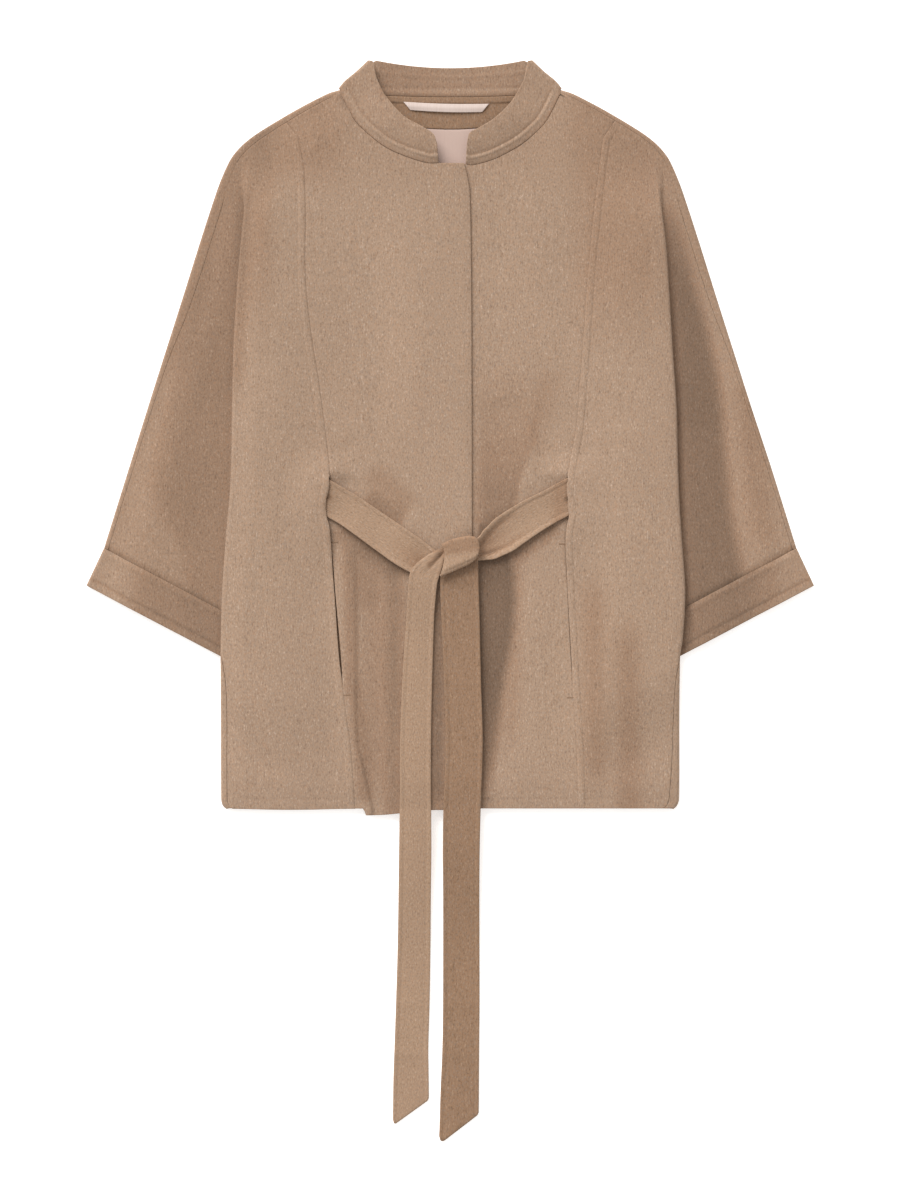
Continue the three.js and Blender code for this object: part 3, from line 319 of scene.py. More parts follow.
# Soft areas of painted shade, with the share of the darkest shade that each one has.
PAINTED_SHADE_AREAS = (
    Fold(-84, 312, -46, 286, 8, 0.4),  # above the left strap
    Fold(-80, 338, -40, 298, 12, 0.22),
    Fold(-114, 282, -46, 233, 10, 0.46),  # below it
    Fold(-100, 262, -76, 200, 12, 0.2),
    Fold(62, 252, 108, 284, 8, 0.42),  # below the right strap
    Fold(67, 262, 60, 60, 8, 0.2),
    Fold(104, 440, 82, 350, 9, 0.14),  # along the drag line above that strap
    Fold(-101, 268, -98, 110, 6, 0.3),  # inside the pleat
    Fold(-96, 130, -84, 2, 6.5, 0.3),
    Fold(-72, 262, -72, 10, 14, 0.22),
    Fold(-54, 250, -57, -40, 8, 0.42),  # beside the left tail
    Fold(-206, 620, -214, 410, 7, 0.24),  # the body's side beside the left sleeve
    Fold(-13, 240, -12, -4, 6, 0.75),  # between the tails
    Fold(142, 232, 146, 20, 11, 0.26),  # right side above the hem
    Fold(176, 190, 180, -30, 12, 0.26),
)
# Painted shade in the hollows right of the tails and over the right strap: where each ends, and its share
# there.
TAIL_VALLEY = SizeTable("x share", (
    (262, 58, 0.7), (250, 60, 0.9), (208, 62.5, 0.86), (168, 59, 0.9), (128, 52, 0.95), (88, 47.5, 0.8),
    (48, 42.5, 0.5), (18, 38, 0.25), (0, 36, 0.15),
))
STRAP_HOLLOW = SizeTable("x share", (
    (450, 100, 0), (420, 96, 0.1), (400, 91, 0.14), (368.5, 84, 0.2), (328.5, 70, 0.38), (308.5, 66, 0.5),
    (296, 62, 0.5),
))


# ---- The coat's form -------------------------------------------------------------------------------------
@dataclass
class CoatForm:
    """The laid coat's layers: where each one lies, how it folds and how thick its cloth is."""

    cloth: float = 2.2
    belt_cloth: float = 2.6
    facing_cloth: float = 1.6
    lining_cloth: float = 1.0
    seam: float = 0.3
    stitched: float = 0.14  # how far apart two edges are that are sewn together
    seam_shift: float = 1.3  # how far a cuff's seam underneath is from the one on top
    seam_dip: float = 0.9  # how far the cloth is drawn down at a cuff's seam
    dip_reach: float = 8.0
    turn: float = 2.0
    loft: float = 3.4
    sleeve_loft: float = 6.0
    sleeve_push: float = 4.2  # how far the right sleeve is pushed up beside the body
    lip_rise: float = 4.9  # how far the cloth beside a belt slot stands up over the belt
    arm_shift: float = 1.2  # how much nearer the body the right sleeve's outer edge lies
    overlap_rise: float = 3.0
    overlap: Ramp = Ramp(-78, 45)  # where it rises, across the coat
    step_width: float = 14.0  # how far the step at the over front's edge is eased out
    step_end: float = 22.0  # where the over front ends at the latest
    underarm: float = 378.5
    bends: int = 8
    least_bend: float = 3.2  # least length of cloth in a bend beside the armpit
    neck_low: float = 712.0  # height of the back neck seam at the centre, and how much it rises
    neck_rise: float = 4.0
    neck_half: float = 105.0
    stack: Ramp = Ramp(-88, 86)  # the sleeve's layers under the body, by height over the cuff's edge
    lift_start: float = 16.0  # how far below the underarm the back is lifted whole
    lift_across: Ramp = Ramp(-30, 33)  # by the distance past the sleeve's inner edge
    lift_front: Ramp = Ramp(-92, 90)  # the same on the front, by the distance past the sleeve's fold
    shoulder: Ramp = Ramp(604, 36)
    slope: Ramp = Ramp(560, 60)  # where the loft beside the sleeve's edge grows slower
    slope_share: float = 0.55
    slope_width: float = 44.0
    hem_press: Ramp = Ramp(30, -40)  # the loft is pressed out above the hem
    hem_share: float = 0.7
    side_width: Pair = (26.0, 12.0)  # how far in the body's loft starts, left and right
    side_share: float = 0.65  # what is left of it at the right side's fold
    pleat_width: float = 15.0
    pleat_drop: float = 2.6
    pleat_top: float = 268.0
    sleeve_least: float = 8.0  # narrowest that a sleeve is taken to be
    sleeve_full: float = 76.0  # width at which it is full
    sleeve_rise: float = 0.85  # the left sleeve fills over this share of its width
    sleeve_start: float = 2.0  # from this far out of the body's edge
    sleeve_edge: float = 42.0  # how far in from the over-arm seam a sleeve is flattened
    sleeve_even: float = 22.0  # how far from the body its own waves start
    pushed_end: float = 4.0  # where the pushed-up cloth starts to fall again
    right_less: float = 1.0  # how much lower the right sleeve is past its hollow
    pushed_up: Ramp = Ramp(1, 9)  # the right sleeve beside the body, by the distance from it
    hollow_dip: Hump = Hump(0, 12, 1.2)  # its hollow, by the distance from the hollow's line
    past_hollow: Ramp = Ramp(4, 30)
    lip_along: tuple[Ramp, Ramp] = (Ramp(216, 70), Ramp(322, 40))  # where a slot's lips rise and fall
    lip_outer: Ramp = Ramp(6, 40)  # by the distance from the seam
    lip_inner: float = 34.0
    lip_inner_top: Ramp = Ramp(323, 16)
    shift_along: tuple[Ramp, Ramp] = (Ramp(330, 90), Ramp(690, -60))  # where the sleeve's edge is shifted
    mouth: tuple[Ramp, Ramp, Ramp] = (Ramp(118, 34), Ramp(160, 60), Ramp(236, 28))  # a pocket's gape
    gape: Pair = (1.9, 0.5)  # how wide it is, left and right
    narrowing: float = 0.5  # how much of it is lost toward its top
    slot_ends: tuple[Hump, Hump] = (Hump(328, 2.2, 1.8), Hump(309.5, 2.4, 1.2))
    waves: Array = field(init=False)

    def __post_init__(self) -> None:
        """Reads the tuck beside the armpit at every height, and fixes the cloth's slight unevenness."""
        self.quarter = self.turn * math.pi / 2
        self.back_z = self.cloth / 2
        self.front_z = self.back_z + 2 * self.turn
        self.on_panel = self.cloth / 2 + self.seam + self.belt_cloth / 2
        heights = np.arange(self.underarm, 702, 1.0)
        drops, lines = [], []
        for y in heights:
            path, reach = self.tuck_path(y)
            drops.append(-path[-1, 1])
            lines.append(min(path[-1, 0], 0) - reach - self.cloth - self.turn)
        self._tuck = (heights, np.array(drops), np.array(lines))
        reach, spread = 48, 18.0
        weights = np.exp(-((np.arange(-reach, reach + 1) / spread) ** 2) / 2)
        padded = np.pad(np.array(drops), reach, mode="edge")
        self._lift = np.convolve(padded, weights / weights.sum(), mode="valid")
        count, shortest, longest, steepness, lengthwise = 14, 38, 130, 0.0007, 0.55
        rng = np.random.default_rng(SEED)
        angles = rng.uniform(0, math.tau, count)
        lengths = rng.uniform(shortest, longest, count)
        self.waves = np.column_stack([
            np.cos(angles) * math.tau / lengths,
            lengthwise * np.sin(angles) * math.tau / lengths,
            rng.uniform(0, math.tau, count),
            steepness * lengths,
        ])

    def back_neck(self, half: Array) -> Array:
        """Height of the back neck seam at a half width."""
        return self.neck_low + self.neck_rise * (half / self.neck_half) ** 2

    def unevenness(self, x: Array, y: Array) -> Array:
        """The slight waves that a pressed cloth keeps, some tenths of a millimetre high."""
        return sum(rise * np.sin(kx * x + ky * y + phase) for kx, ky, phase, rise in self.waves)

    def tuck_path(self, y: float) -> tuple[Array, float]:
        """The cloth beside the armpit, from the body's top layer round its edge and out along the sleeve.

        Args:
            y: height above the hem.

        Returns:
            Points in (out, up) and how far the first bend reaches out.
        """
        turn = math.radians(ARM_TUCK.read("turn", y))
        bend = max(2 * self.turn * math.sin(turn / (2 * self.bends)), self.least_bend / self.bends)
        angles = turn * (np.arange(self.bends) + 0.5) / self.bends
        angles = np.concatenate([angles, [turn], angles[::-1]])
        lengths = np.full(len(angles), bend)
        lengths[self.bends] = ARM_TUCK.read("flat", y)
        steps = np.column_stack([lengths * np.cos(angles), -lengths * np.sin(angles)])
        path = np.vstack([np.zeros(2), np.cumsum(steps, axis=0)])
        return path, path[: self.bends + 1, 0].max()

    def sleeve_lift(self, half: Array, y: Array) -> Array:
        """How far the sleeve under it lifts the body's side.

        Args:
            half: distance from the centre line.
            y: height above the hem.

        Returns:
            How far, at each place.
        """
        heights = self._tuck[0]
        (inner, low), (outer, high) = CUFF_EDGE
        cuff_line = mix(low, high, (half - inner) / (outer - inner))
        stack = 4 * self.turn * self.stack.at(y - cuff_line)
        return np.where(y > self.underarm, np.interp(y, heights, self._lift), stack)

    def inner_fold(self, x: Array, y: Array) -> Array:
        """Half width at which the sleeve's layers begin under the body's side.

        Args:
            x: how far across from the centre line.
            y: height above the hem.

        Returns:
            The half width at each height.
        """
        heights, _, lines = self._tuck
        tucked = BODY_EDGE.beside(x, y) + np.interp(y, heights, lines)
        return np.where(y <= self.underarm, SLEEVE_UNDER_EDGE.read("half", y), tucked)

    def back_height(self, x: Array, y: Array) -> Array:
        """Height of the back's middle, lifted beside the sleeves below the underarm.

        Args:
            x: how far across from the centre line.
            y: height above the hem.

        Returns:
            The height at each place.
        """
        half = np.abs(x)
        start = ease((self.underarm - y) / self.lift_start)
        across = self.lift_across.at(half - SLEEVE_UNDER_EDGE.read("half", y))
        lift = self.sleeve_lift(half, y) * start * across
        return self.back_z + np.where(y >= self.underarm, 0, lift)

    def shoulder_share(self, y: Array) -> Array:
        """How much of the form at a height is the smooth shoulder's, above the fold beside the sleeve."""
        return self.shoulder.at(y)

    def shoulder_loft(self, x: Array, y: Array) -> Array:
        """How far the cloth stands off, falling to nothing at the shoulder and the sleeve's edge.

        Args:
            x: how far across from the centre line.
            y: height above the hem.

        Returns:
            How far, at each place.
        """
        from_edge = (ARM_EDGE.read("half", y) - np.abs(x)) * mix(1, self.slope_share, self.slope.at(y))
        hem = 1 - self.hem_share * self.hem_press.at(y)
        return (self.loft * hem + self.unevenness(x, y)) * ease(from_edge / self.slope_width)

    def front_height(self, x: Array, y: Array) -> Array:
        """Height of the front's middle, with its loft, its folds and the sleeve under its side.

        Args:
            x: how far across from the centre line.
            y: height above the hem.

        Returns:
            The height at each place.
        """
        x, y = np.broadcast_arrays(np.asarray(x, dtype=float), np.asarray(y, dtype=float))
        half = np.abs(x)
        left, right = self.side_width
        from_side = ease((BODY_EDGE.beside(x, y) - half) / np.where(x > 0, right, left))
        from_side = mix(np.where(x > 0, self.side_share, 0.0), 1, from_side)
        soft = self.shoulder_loft(x, y) * mix(from_side, 1, self.shoulder_share(y))
        across = self.lift_front.at(half - self.inner_fold(x, y))
        folds = sum(fold.height(x, y) for fold in FOLDS) + self.pleat_height(x, y)
        return self.front_z + soft + folds * (1 - across) + self.sleeve_lift(half, y) * across

    def pleat_height(self, x: Array, y: Array) -> Array:
        """The pleat's fold: it stands left of its line and drops sharply right of it.

        Args:
            x: how far across from the centre line.
            y: height above the hem.

        Returns:
            How far, at each place.
        """
        off = x - PLEAT.read("x", y)
        rise = np.where(y > self.pleat_top, 0, PLEAT.read("rise", y))
        return rise * np.where(off < 0, bell(off, self.pleat_width), 1 - ease(off / self.pleat_drop))

    def sleeve_height(self, x: Array, y: Array) -> Array:
        """Height of the sleeve front's middle: low beside the body, full toward its outer edge.

        Args:
            x: how far across from the centre line.
            y: height above the hem.

        Returns:
            The height at each place.
        """
        half = np.abs(x)
        edge = ARM_EDGE.read("half", y) - OVERARM_SEAM.beside(x, y)
        inner = BODY_EDGE.beside(x, y)
        off = half - inner
        width = np.maximum(edge - inner, self.sleeve_least)
        hollow = SLEEVE_HOLLOW.read("off", y)
        full = ease(width / self.sleeve_full)
        left = self.sleeve_loft * full * ease((off - self.sleeve_start) / (self.sleeve_rise * width))
        falling = 1 - ease((off - self.pushed_end) / hollow)
        pushed = self.sleeve_push * full * self.pushed_up.at(off) * falling
        dip = self.hollow_dip
        right = pushed - dip.rise * full * bell(off - hollow, dip.width)
        right = right + (self.sleeve_loft - self.right_less) * full * self.past_hollow.at(off - hollow)
        body = np.where(x < 0, left, right) + self.unevenness(x, y) * ease(off / self.sleeve_even)
        body = body * ease((edge - half) / self.sleeve_edge)
        return self.front_z + mix(body, self.shoulder_loft(x, y), self.shoulder_share(y))

    def slot_lip(self, off: Array, y: Array) -> Array:
        """How far the belt lifts the cloth beside its slots, by the distance outward from the princess seam.

        Args:
            off: the distance, less than nothing on the centre front.
            y: the height above the hem.

        Returns:
            The rise.
        """
        low, high = self.lip_along
        along = low.at(y) * (1 - high.at(y))
        outer = 1 - self.lip_outer.at(off)
        inner = (1 - ease(-off / self.lip_inner)) * self.lip_inner_top.at(y)
        return self.lip_rise * along * np.where(off < 0, inner, outer)

    def over_height(self, x: Array, y: Array) -> Array:
        """Height of the over front's middle, raised where it covers the under front."""
        return self.front_height(x, y) + self.overlap_rise * self.overlap.at(x)

    def cover_height(self, x: Array, y: Array) -> Array:
        """Height of whichever front is on top, with the step at the over front's edge eased."""
        past = ease((x - OVER_FRONT_EDGE.read("x", y)) / self.step_width)
        return mix(self.over_height(np.minimum(x, self.step_end), y), self.front_height(x, y), past)

    def arm_rim(self, side: int, y: float, lengths: Array) -> Array:
        """Points at lengths of cloth from the sleeve's folded outer edge, on the front above nothing.

        Args:
            side: -1 for the wearer's right side, 1 for the left.
            y: height above the hem.
            lengths: the lengths.

        Returns:
            The points.
        """
        slope = ARM_EDGE.read("half", y + 0.5) - ARM_EDGE.read("half", y - 0.5)
        out = np.array([1, -slope]) / math.hypot(1, slope)
        angle = np.clip(lengths, -self.quarter, self.quarter) / self.turn
        past = np.abs(lengths) - self.quarter
        offset = np.where(past > 0, -past, self.turn * np.cos(angle)) - self.cloth / 2 - self.turn
        z = self.front_z - self.turn + self.turn * np.sin(angle)
        low, high = self.shift_along
        half = ARM_EDGE.read("half", y) - self.arm_shift * (side > 0) * low.at(y) * high.at(y)
        return np.column_stack([side * (half + out[0] * offset), y + out[1] * offset, z])

    def overarm(self, side: int, y: float) -> Array:
        """The front's edge along the over-arm seam, at a height."""
        return self.arm_rim(side, y, np.array([OVERARM_SEAM.beside(side, y) + self.stitched / 2]))[0]

    def body_rim(self, side: int, y: float, lengths: Array) -> Array:
        """The same for the body's folded side below the underarm.

        Args:
            side: -1 for the wearer's right side, 1 for the left.
            y: height above the hem.
            lengths: the lengths.

        Returns:
            The points.
        """
        angle = np.clip(lengths, -self.quarter, self.quarter) / self.turn
        past = np.abs(lengths) - self.quarter
        centre = BODY_EDGE.beside(side, y) - self.cloth / 2 - self.turn
        half = centre + np.where(past > 0, -past, self.turn * np.cos(angle))
        x = side * np.minimum(half, centre)
        height = np.full(len(lengths), float(y))
        high, low = self.front_height(x, height), self.back_height(x, height)
        share = np.where(past > 0, lengths > 0, (1 + np.sin(angle)) / 2)
        return np.column_stack([side * half, height, mix(low, high, share)])

    def under_rim(self, side: int, row: Array, angles: Array) -> Array:
        """The sleeve's inner edge, from a quarter turn on the front to one on the back.

        Args:
            side: -1 for the wearer's right side, 1 for the left.
            row: where the row meets the sleeve's outer and inner edge.
            angles: angles round the fold.

        Returns:
            The points.
        """
        inner = np.array([SLEEVE_UNDER_EDGE.read("half", row[1]), row[1]])
        outer = np.array([ARM_EDGE.read("half", row[0]), row[0]])
        along = (outer - inner) / np.linalg.norm(outer - inner)
        off = self.cloth / 2 + self.turn - self.turn * np.cos(angles)
        x = side * (inner[0] + along[0] * off)
        height = self.front_z - self.turn + self.turn * np.sin(angles)
        return np.column_stack([x, inner[1] + along[1] * off, height])

    def cuff_seam(self, half: Array) -> Array:
        """Height of the cuff's seam."""
        (inner, low), (outer, high) = CUFF_SEAM
        return mix(low, high, (half - inner) / (outer - inner))

    def seam_gap(self, side: int, y: Array) -> Array:
        """The gap along the princess seam: the pocket gapes on the left and is almost shut on the right.

        Args:
            side: -1 for the wearer's right side, 1 for the left.
            y: height above the hem.

        Returns:
            The gap's width.
        """
        low, narrow, high = self.mouth
        mouth = low.at(y) * (1 - self.narrowing * narrow.at(y)) * (1 - high.at(y))
        upper, lower = self.slot_ends
        return self.stitched + self.gape[side > 0] * mouth + (upper.at(y) + lower.at(y))


@dataclass(frozen=True)
class PaintedShadeAndPile:
    """How dark the laid coat's cloth is made, from 0 to 1: painted shade, with the pile's darker tone.

    A ramp goes by the height above the hem unless its comment says what it goes by.
    """

    form: CoatForm
    left_reach: Pair = (0.2, 0.66)  # share of the left sleeve's width that is shaded most
    left_reach_rise: Ramp = Ramp(238, 100)
    left_shares: Pair = (0.35, 0.14)  # inside that reach and beyond it
    left_fade: float = 0.2
    left_outer: Hump = Hump(0.8, 0.22, 0.16)  # by the share of its width
    left_outer_rise: Ramp = Ramp(420, 50)
    right_shares: Pair = (0.72, 0.1)  # before the right sleeve's hollow and past it
    right_more: float = 0.1
    right_more_rise: Ramp = Ramp(360, 40)
    right_fade: Ramp = Ramp(-6, 17)  # by the distance past the hollow
    right_inner: Hump = Hump(-11, 9)  # by the distance past the hollow
    right_inner_share: float = 0.12
    right_inner_rise: Ramp = Ramp(470, 50)
    right_edge: Pair = (0.45, 9.0)  # share at the body's fold, and its distance to whole
    right_outer: Hump = Hump(30, 13, 0.18)  # by the distance past the hollow
    right_outer_rise: Ramp = Ramp(250, 30)
    right_outer_top: float = 420.0
    crease: Pair = (0.34, 7.0)  # share at the cuff's seam, and how far above it
    sleeve_start: Ramp = Ramp(-1, 4)  # by the distance from the body's fold
    sleeve_width: float = 60.0
    sleeve_top: Ramp = Ramp(640, -60)
    left_shoulder: tuple[Ramp, Ramp] = (Ramp(165, 30), Ramp(430, 170))  # by half width, and by height
    left_shoulder_share: float = 0.3
    right_shoulder: tuple[Ramp, Ramp, Ramp] = (Ramp(105, 45), Ramp(195, 14), Ramp(440, 110))  # the same
    right_shoulder_shares: Pair = (0.24, 0.4)  # of the shading, and what it loses at the edge
    neck: tuple[Ramp, Ramp, Ramp] = (Ramp(85, 50), Ramp(605, 50), Ramp(185, 20))  # across, up, across
    neck_share: float = 0.17
    top: Ramp = Ramp(590, 90)
    top_share: float = 0.1
    tail_start: Ramp = Ramp(27, 3)  # across, beside the tails
    tail_fade: Ramp = Ramp(-5, 14)  # by the distance past the hollow's end
    tail_foot: Ramp = Ramp(-30, 60)
    fold_start: Ramp = Ramp(-4, 20)  # by the distance past the over front's edge
    fold_fade: Ramp = Ramp(-4, 8)  # by the distance past the hollow's end
    belt: float = 285.0  # the height at which the one hollow ends and the other starts

    def share(self, x: Array, y: Array) -> Array:
        """The share at each place, by x and the height above the hem."""
        soft = sum(area.height(x, y) for area in PAINTED_SHADE_AREAS)
        return np.clip(np.maximum(self.sleeve(x, y), self.shoulder(x, y)) + soft + self.hollows(x, y), 0, 1)

    def sleeve(self, x: Array, y: Array) -> Array:
        """The painted shade on the sleeves, from the body's fold outward.

        Args:
            x: how far across from the centre line.
            y: height above the hem.

        Returns:
            The share at each place.
        """
        half = np.abs(x)
        off = half - BODY_EDGE.beside(x, y)
        width = np.maximum(ARM_EDGE.read("half", y) - BODY_EDGE.beside(x, y), self.form.sleeve_least)
        reach = mix(*self.left_reach, self.left_reach_rise.at(y))
        left = mix(*self.left_shares, ease((off / width - reach) / self.left_fade))
        left = left + self.left_outer.at(off / width) * self.left_outer_rise.at(y)
        past = off - SLEEVE_HOLLOW.read("off", y)
        before, beyond = self.right_shares
        right = mix(before + self.right_more * self.right_more_rise.at(y), beyond, self.right_fade.at(past))
        right = right + self.right_inner_share * self.right_inner_rise.at(y) * self.right_inner.at(past)
        least, reach = self.right_edge
        outer = self.right_outer.at(past) * self.right_outer_rise.at(y) * (y < self.right_outer_top)
        right = right * mix(least, 1, ease(off / reach)) + outer
        above_seam = y - self.form.cuff_seam(half)
        most, reach = self.crease
        crease = most * (1 - ease(above_seam / reach))
        shaded = np.where(above_seam < 0, 0, np.where(x < 0, left, right) + crease)
        return shaded * self.sleeve_start.at(off) * ease(width / self.sleeve_width) * self.sleeve_top.at(y)

    def shoulder(self, x: Array, y: Array) -> Array:
        """How much the shoulders and the cloth beside the neck are darkened.

        Args:
            x: how far across from the centre line.
            y: height above the hem.

        Returns:
            The share at each place.
        """
        half = np.abs(x)
        across, up = self.left_shoulder
        left = across.at(half) * up.at(y)
        across, edge, up = self.right_shoulder
        most, lost = self.right_shoulder_shares
        right = across.at(half) * (1 - lost * edge.at(half)) * up.at(y)
        start, up, end = self.neck
        neck = start.at(half) * up.at(y) * (1 - end.at(half))
        beside = np.where(x < 0, self.left_shoulder_share * left + self.neck_share * neck, most * right)
        return self.top_share * self.top.at(y) + beside

    def hollows(self, x: Array, y: Array) -> Array:
        """The painted shade in the hollows beside the tails and over the right strap.

        Args:
            x: how far across from the centre line.
            y: height above the hem.

        Returns:
            The share at each place.
        """
        valley = self.tail_start.at(x) * (1 - self.tail_fade.at(x - TAIL_VALLEY.read("x", y)))
        valley = valley * TAIL_VALLEY.read("share", y) * self.tail_foot.at(y) * (y < self.belt)
        fold = self.fold_start.at(x - OVER_FRONT_EDGE.read("x", y))
        fold = fold * (1 - self.fold_fade.at(x - STRAP_HOLLOW.read("x", y)))
        return valley + fold * STRAP_HOLLOW.read("share", y) * (y > self.belt)


# ---- Cloth made into shells ------------------------------------------------------------------------------
@dataclass(frozen=True)
class Placement:
    """Where the coat's own working frame, in millimetres, stands in the row frame, in metres."""

    x: float
    y: float
    z: float

    @classmethod
    def from_lining(cls, low_edge: float = 612, rest: float = 2.5) -> "Placement":
        """Finds it from the lining's box, whose lower edge and underside are at known places."""
        low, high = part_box("lining")
        return cls((low[0] + high[0]) / 2, low[1] - low_edge / MM, low[2] - rest / MM)

    def place(self, points: Array) -> Array:
        """Points in the row frame, in metres."""
        return points / MM + np.array([self.x, self.y, self.z])


@dataclass(frozen=True)
class ClothWall:
    """Turns grids of points at the middle of a cloth into one closed shell with rounded edges."""

    placement: Placement
    thickness: float
    rounding: float = 0.35

    def build(
        self, name: str, grids: Sequence[Array], chart: Array | None = None,
        nap: Array | None = None,
    ) -> bpy.types.Object:
        """Makes the shell.

        Args:
            name: the new object's name.
            grids: points by row and column; grids that share points are joined there.
            chart: a place on the flat cloth for each point of the only grid, in metres.
            nap: how dark each of the grids' points is made: painted shade, with the pile's darker tone.

        Returns:
            The object, with its flat area in square metres kept on it as "cut_area".
        """
        points = np.concatenate([g.reshape(-1, 3) for g in grids])
        key = np.round(points * 50).astype(np.int64)
        _, first, weld = np.unique(key, axis=0, return_index=True, return_inverse=True)
        weld = weld.reshape(-1)
        middle = points[first]
        quads, start = [], 0
        for g in grids:
            count = g.shape[0] * g.shape[1]
            ids = weld[start : start + count].reshape(g.shape[:2])
            corners = [ids[:-1, :-1], ids[1:, :-1], ids[1:, 1:], ids[:-1, 1:]]
            quads.append(np.stack(corners, axis=-1).reshape(-1, 4))
            start += count
        quads = np.concatenate(quads)
        a, b, c, d = (middle[quads[:, k]] for k in range(4))
        face_normal = np.cross(c - a, d - b)
        normals = np.zeros_like(middle)
        for k in range(4):
            np.add.at(normals, quads[:, k], face_normal)
        normals /= np.maximum(np.linalg.norm(normals, axis=1), 1e-12)[:, None]
        rim, out, inset = self._rim(middle, normals, quads)
        verts, faces = self._shell(middle, normals, quads, rim, out, inset)
        mesh = bpy.data.meshes.new(name)
        mesh.from_pydata(self.placement.place(verts).tolist(), [], faces)
        mesh.validate()
        mesh.shade_smooth()
        source = self._sources(len(middle), rim)
        # The nap attribute carries painted shade, with the pile's darker tone.
        if nap is not None:
            values = nap.reshape(-1)[first][source]
            mesh.attributes.new("nap", "FLOAT", "POINT").data.foreach_set("value", values)
        if chart is not None:
            flat = chart.reshape(-1, 2)[first]
            layer = mesh.uv_layers.new(name="cloth")
            corner = np.empty(len(mesh.loops), dtype=np.int64)
            mesh.loops.foreach_get("vertex_index", corner)
            layer.data.foreach_set("uv", flat[source[corner]].reshape(-1))
        piece = bpy.data.objects.new(name, mesh)
        bpy.context.scene.collection.objects.link(piece)
        piece["cut_area"] = float(np.linalg.norm(face_normal, axis=1).sum() / 2 * 1e-6)
        return piece

    def _rim(self, middle: Array, normals: Array, quads: Array) -> tuple[Array, ...]:
        """Finds the sheet's free edges.

        Args:
            middle: the sheet's points.
            normals: their normals.
            quads: the faces' corners.

        Returns:
            The free edges, each point's way out of the sheet, and how far its rounding may go in.
        """
        count = len(middle)
        tail = quads.reshape(-1)
        head = np.roll(quads, -1, axis=1).reshape(-1)
        real = tail != head
        tail, head = tail[real], head[real]
        free = ~np.isin(head * count + tail, tail * count + head)
        rim = np.column_stack([tail[free], head[free]])
        along = middle[rim[:, 1]] - middle[rim[:, 0]]
        outward = np.cross(along, normals[rim[:, 0]] + normals[rim[:, 1]])
        outward /= np.maximum(np.linalg.norm(outward, axis=1), 1e-12)[:, None]
        out = np.zeros_like(middle)
        np.add.at(out, rim[:, 0], outward)
        np.add.at(out, rim[:, 1], outward)
        out /= np.maximum(np.linalg.norm(out, axis=1), 1e-12)[:, None]
        on_rim = np.zeros(count, dtype=bool)
        on_rim[rim] = True
        roomy = 9.0
        room = np.full(count, roomy)
        length = np.linalg.norm(middle[head] - middle[tail], axis=1)
        np.minimum.at(room, tail, np.where(on_rim[head], roomy, length))
        np.minimum.at(room, head, np.where(on_rim[tail], roomy, length))
        return rim, out, np.minimum(self.rounding, 0.6 * room)

    def _shell(
        self, middle: Array, normals: Array, quads: Array, rim: Array, out: Array,
        inset: Array,
    ) -> tuple[Array, list[list[int]]]:
        """Puts the two faces of the cloth on the sheet and closes its free edges round.

        Args:
            middle: the sheet's points.
            normals: their normals.
            quads: the faces' corners.
            rim: the free edges.
            out: each point's way out of the sheet.
            inset: how far the rounding goes in at each point.

        Returns:
            The shell's points and faces.
        """
        count = len(middle)
        half = self.thickness / 2
        edge_points = np.unique(rim)
        place = np.full(count, -1)
        place[edge_points] = np.arange(len(edge_points))
        moved = -out * inset[:, None]
        layers = [middle + normals * half + moved]
        levels = ((math.sqrt(0.5), 1), (0, 1), (0, -1), (math.sqrt(0.5), -1))
        for lean, sign in levels:
            back = inset * (1 - math.sqrt(0.5)) if lean else np.zeros(count)
            up = half - inset * (1 - lean)
            ring = middle + normals * (sign * up)[:, None] - out * back[:, None]
            layers.append(ring[edge_points])
        layers.append(middle - normals * half + moved)
        starts = np.cumsum([0] + [len(layer) for layer in layers])
        rings = [rim] + [starts[k] + place[rim] for k in range(1, 5)] + [starts[5] + rim]
        faces = [quads, (quads + starts[5])[:, ::-1]]
        for upper, lower in zip(rings, rings[1:]):
            faces.append(np.column_stack([upper[:, 1], upper[:, 0], lower[:, 0], lower[:, 1]]))
        tidy = []
        for face in np.concatenate(faces).tolist():
            kept = [v for k, v in enumerate(face) if v != face[k - 1]]
            if len(kept) > 2:
                tidy.append(kept)
        return np.concatenate(layers), tidy

    def _sources(self, count: int, rim: Array) -> Array:
        """Which of the sheet's points each point of the shell came from."""
        edge_points = np.unique(rim)
        return np.concatenate([np.arange(count), *([edge_points] * 4), np.arange(count)])


# ---- Finishes --------------------------------------------------------------------------------------------
def linear(hex_colour: str) -> Quad:
    """Turns an sRGB hex colour into linear RGBA."""
    values = (int(hex_colour[k : k + 2], 16) / 255 for k in (1, 3, 5))
    return (*(v / 12.92 if v <= 0.04045 else ((v + 0.055) / 1.055) ** 2.4 for v in values), 1.0)


def new_material(name: str) -> bpy.types.Material:
    """A material with an empty node tree.

    Args:
        name: the material's name.

    Returns:
        The empty material.
    """
    made = bpy.data.materials.new(name)
    made.use_nodes = True
    made.node_tree.nodes.clear()
    return made


def add_node(
    tree: bpy.types.NodeTree, kind: str, values: dict | None = None, links: dict | None = None,
    **settings: object,
) -> bpy.types.Node:
    """Adds a node with its settings and links.

    Args:
        tree: the tree that it goes into.
        kind: the node's type.
        values: constants for its inputs, by name or number.
        links: the sockets that feed its inputs, by name or number.
        settings: its own properties.

    Returns:
        The node.
    """
    node = tree.nodes.new(kind)
    for key, value in settings.items():
        setattr(node, key, value)
    for key, value in (values or {}).items():
        node.inputs[key].default_value = value
    for key, socket in (links or {}).items():
        tree.links.new(socket, node.inputs[key])
    return node


class PatternSpace(Enum):
    """What a cloth's pattern is laid out on."""

    PLACE = "Object"
    CLOTH = "UV"


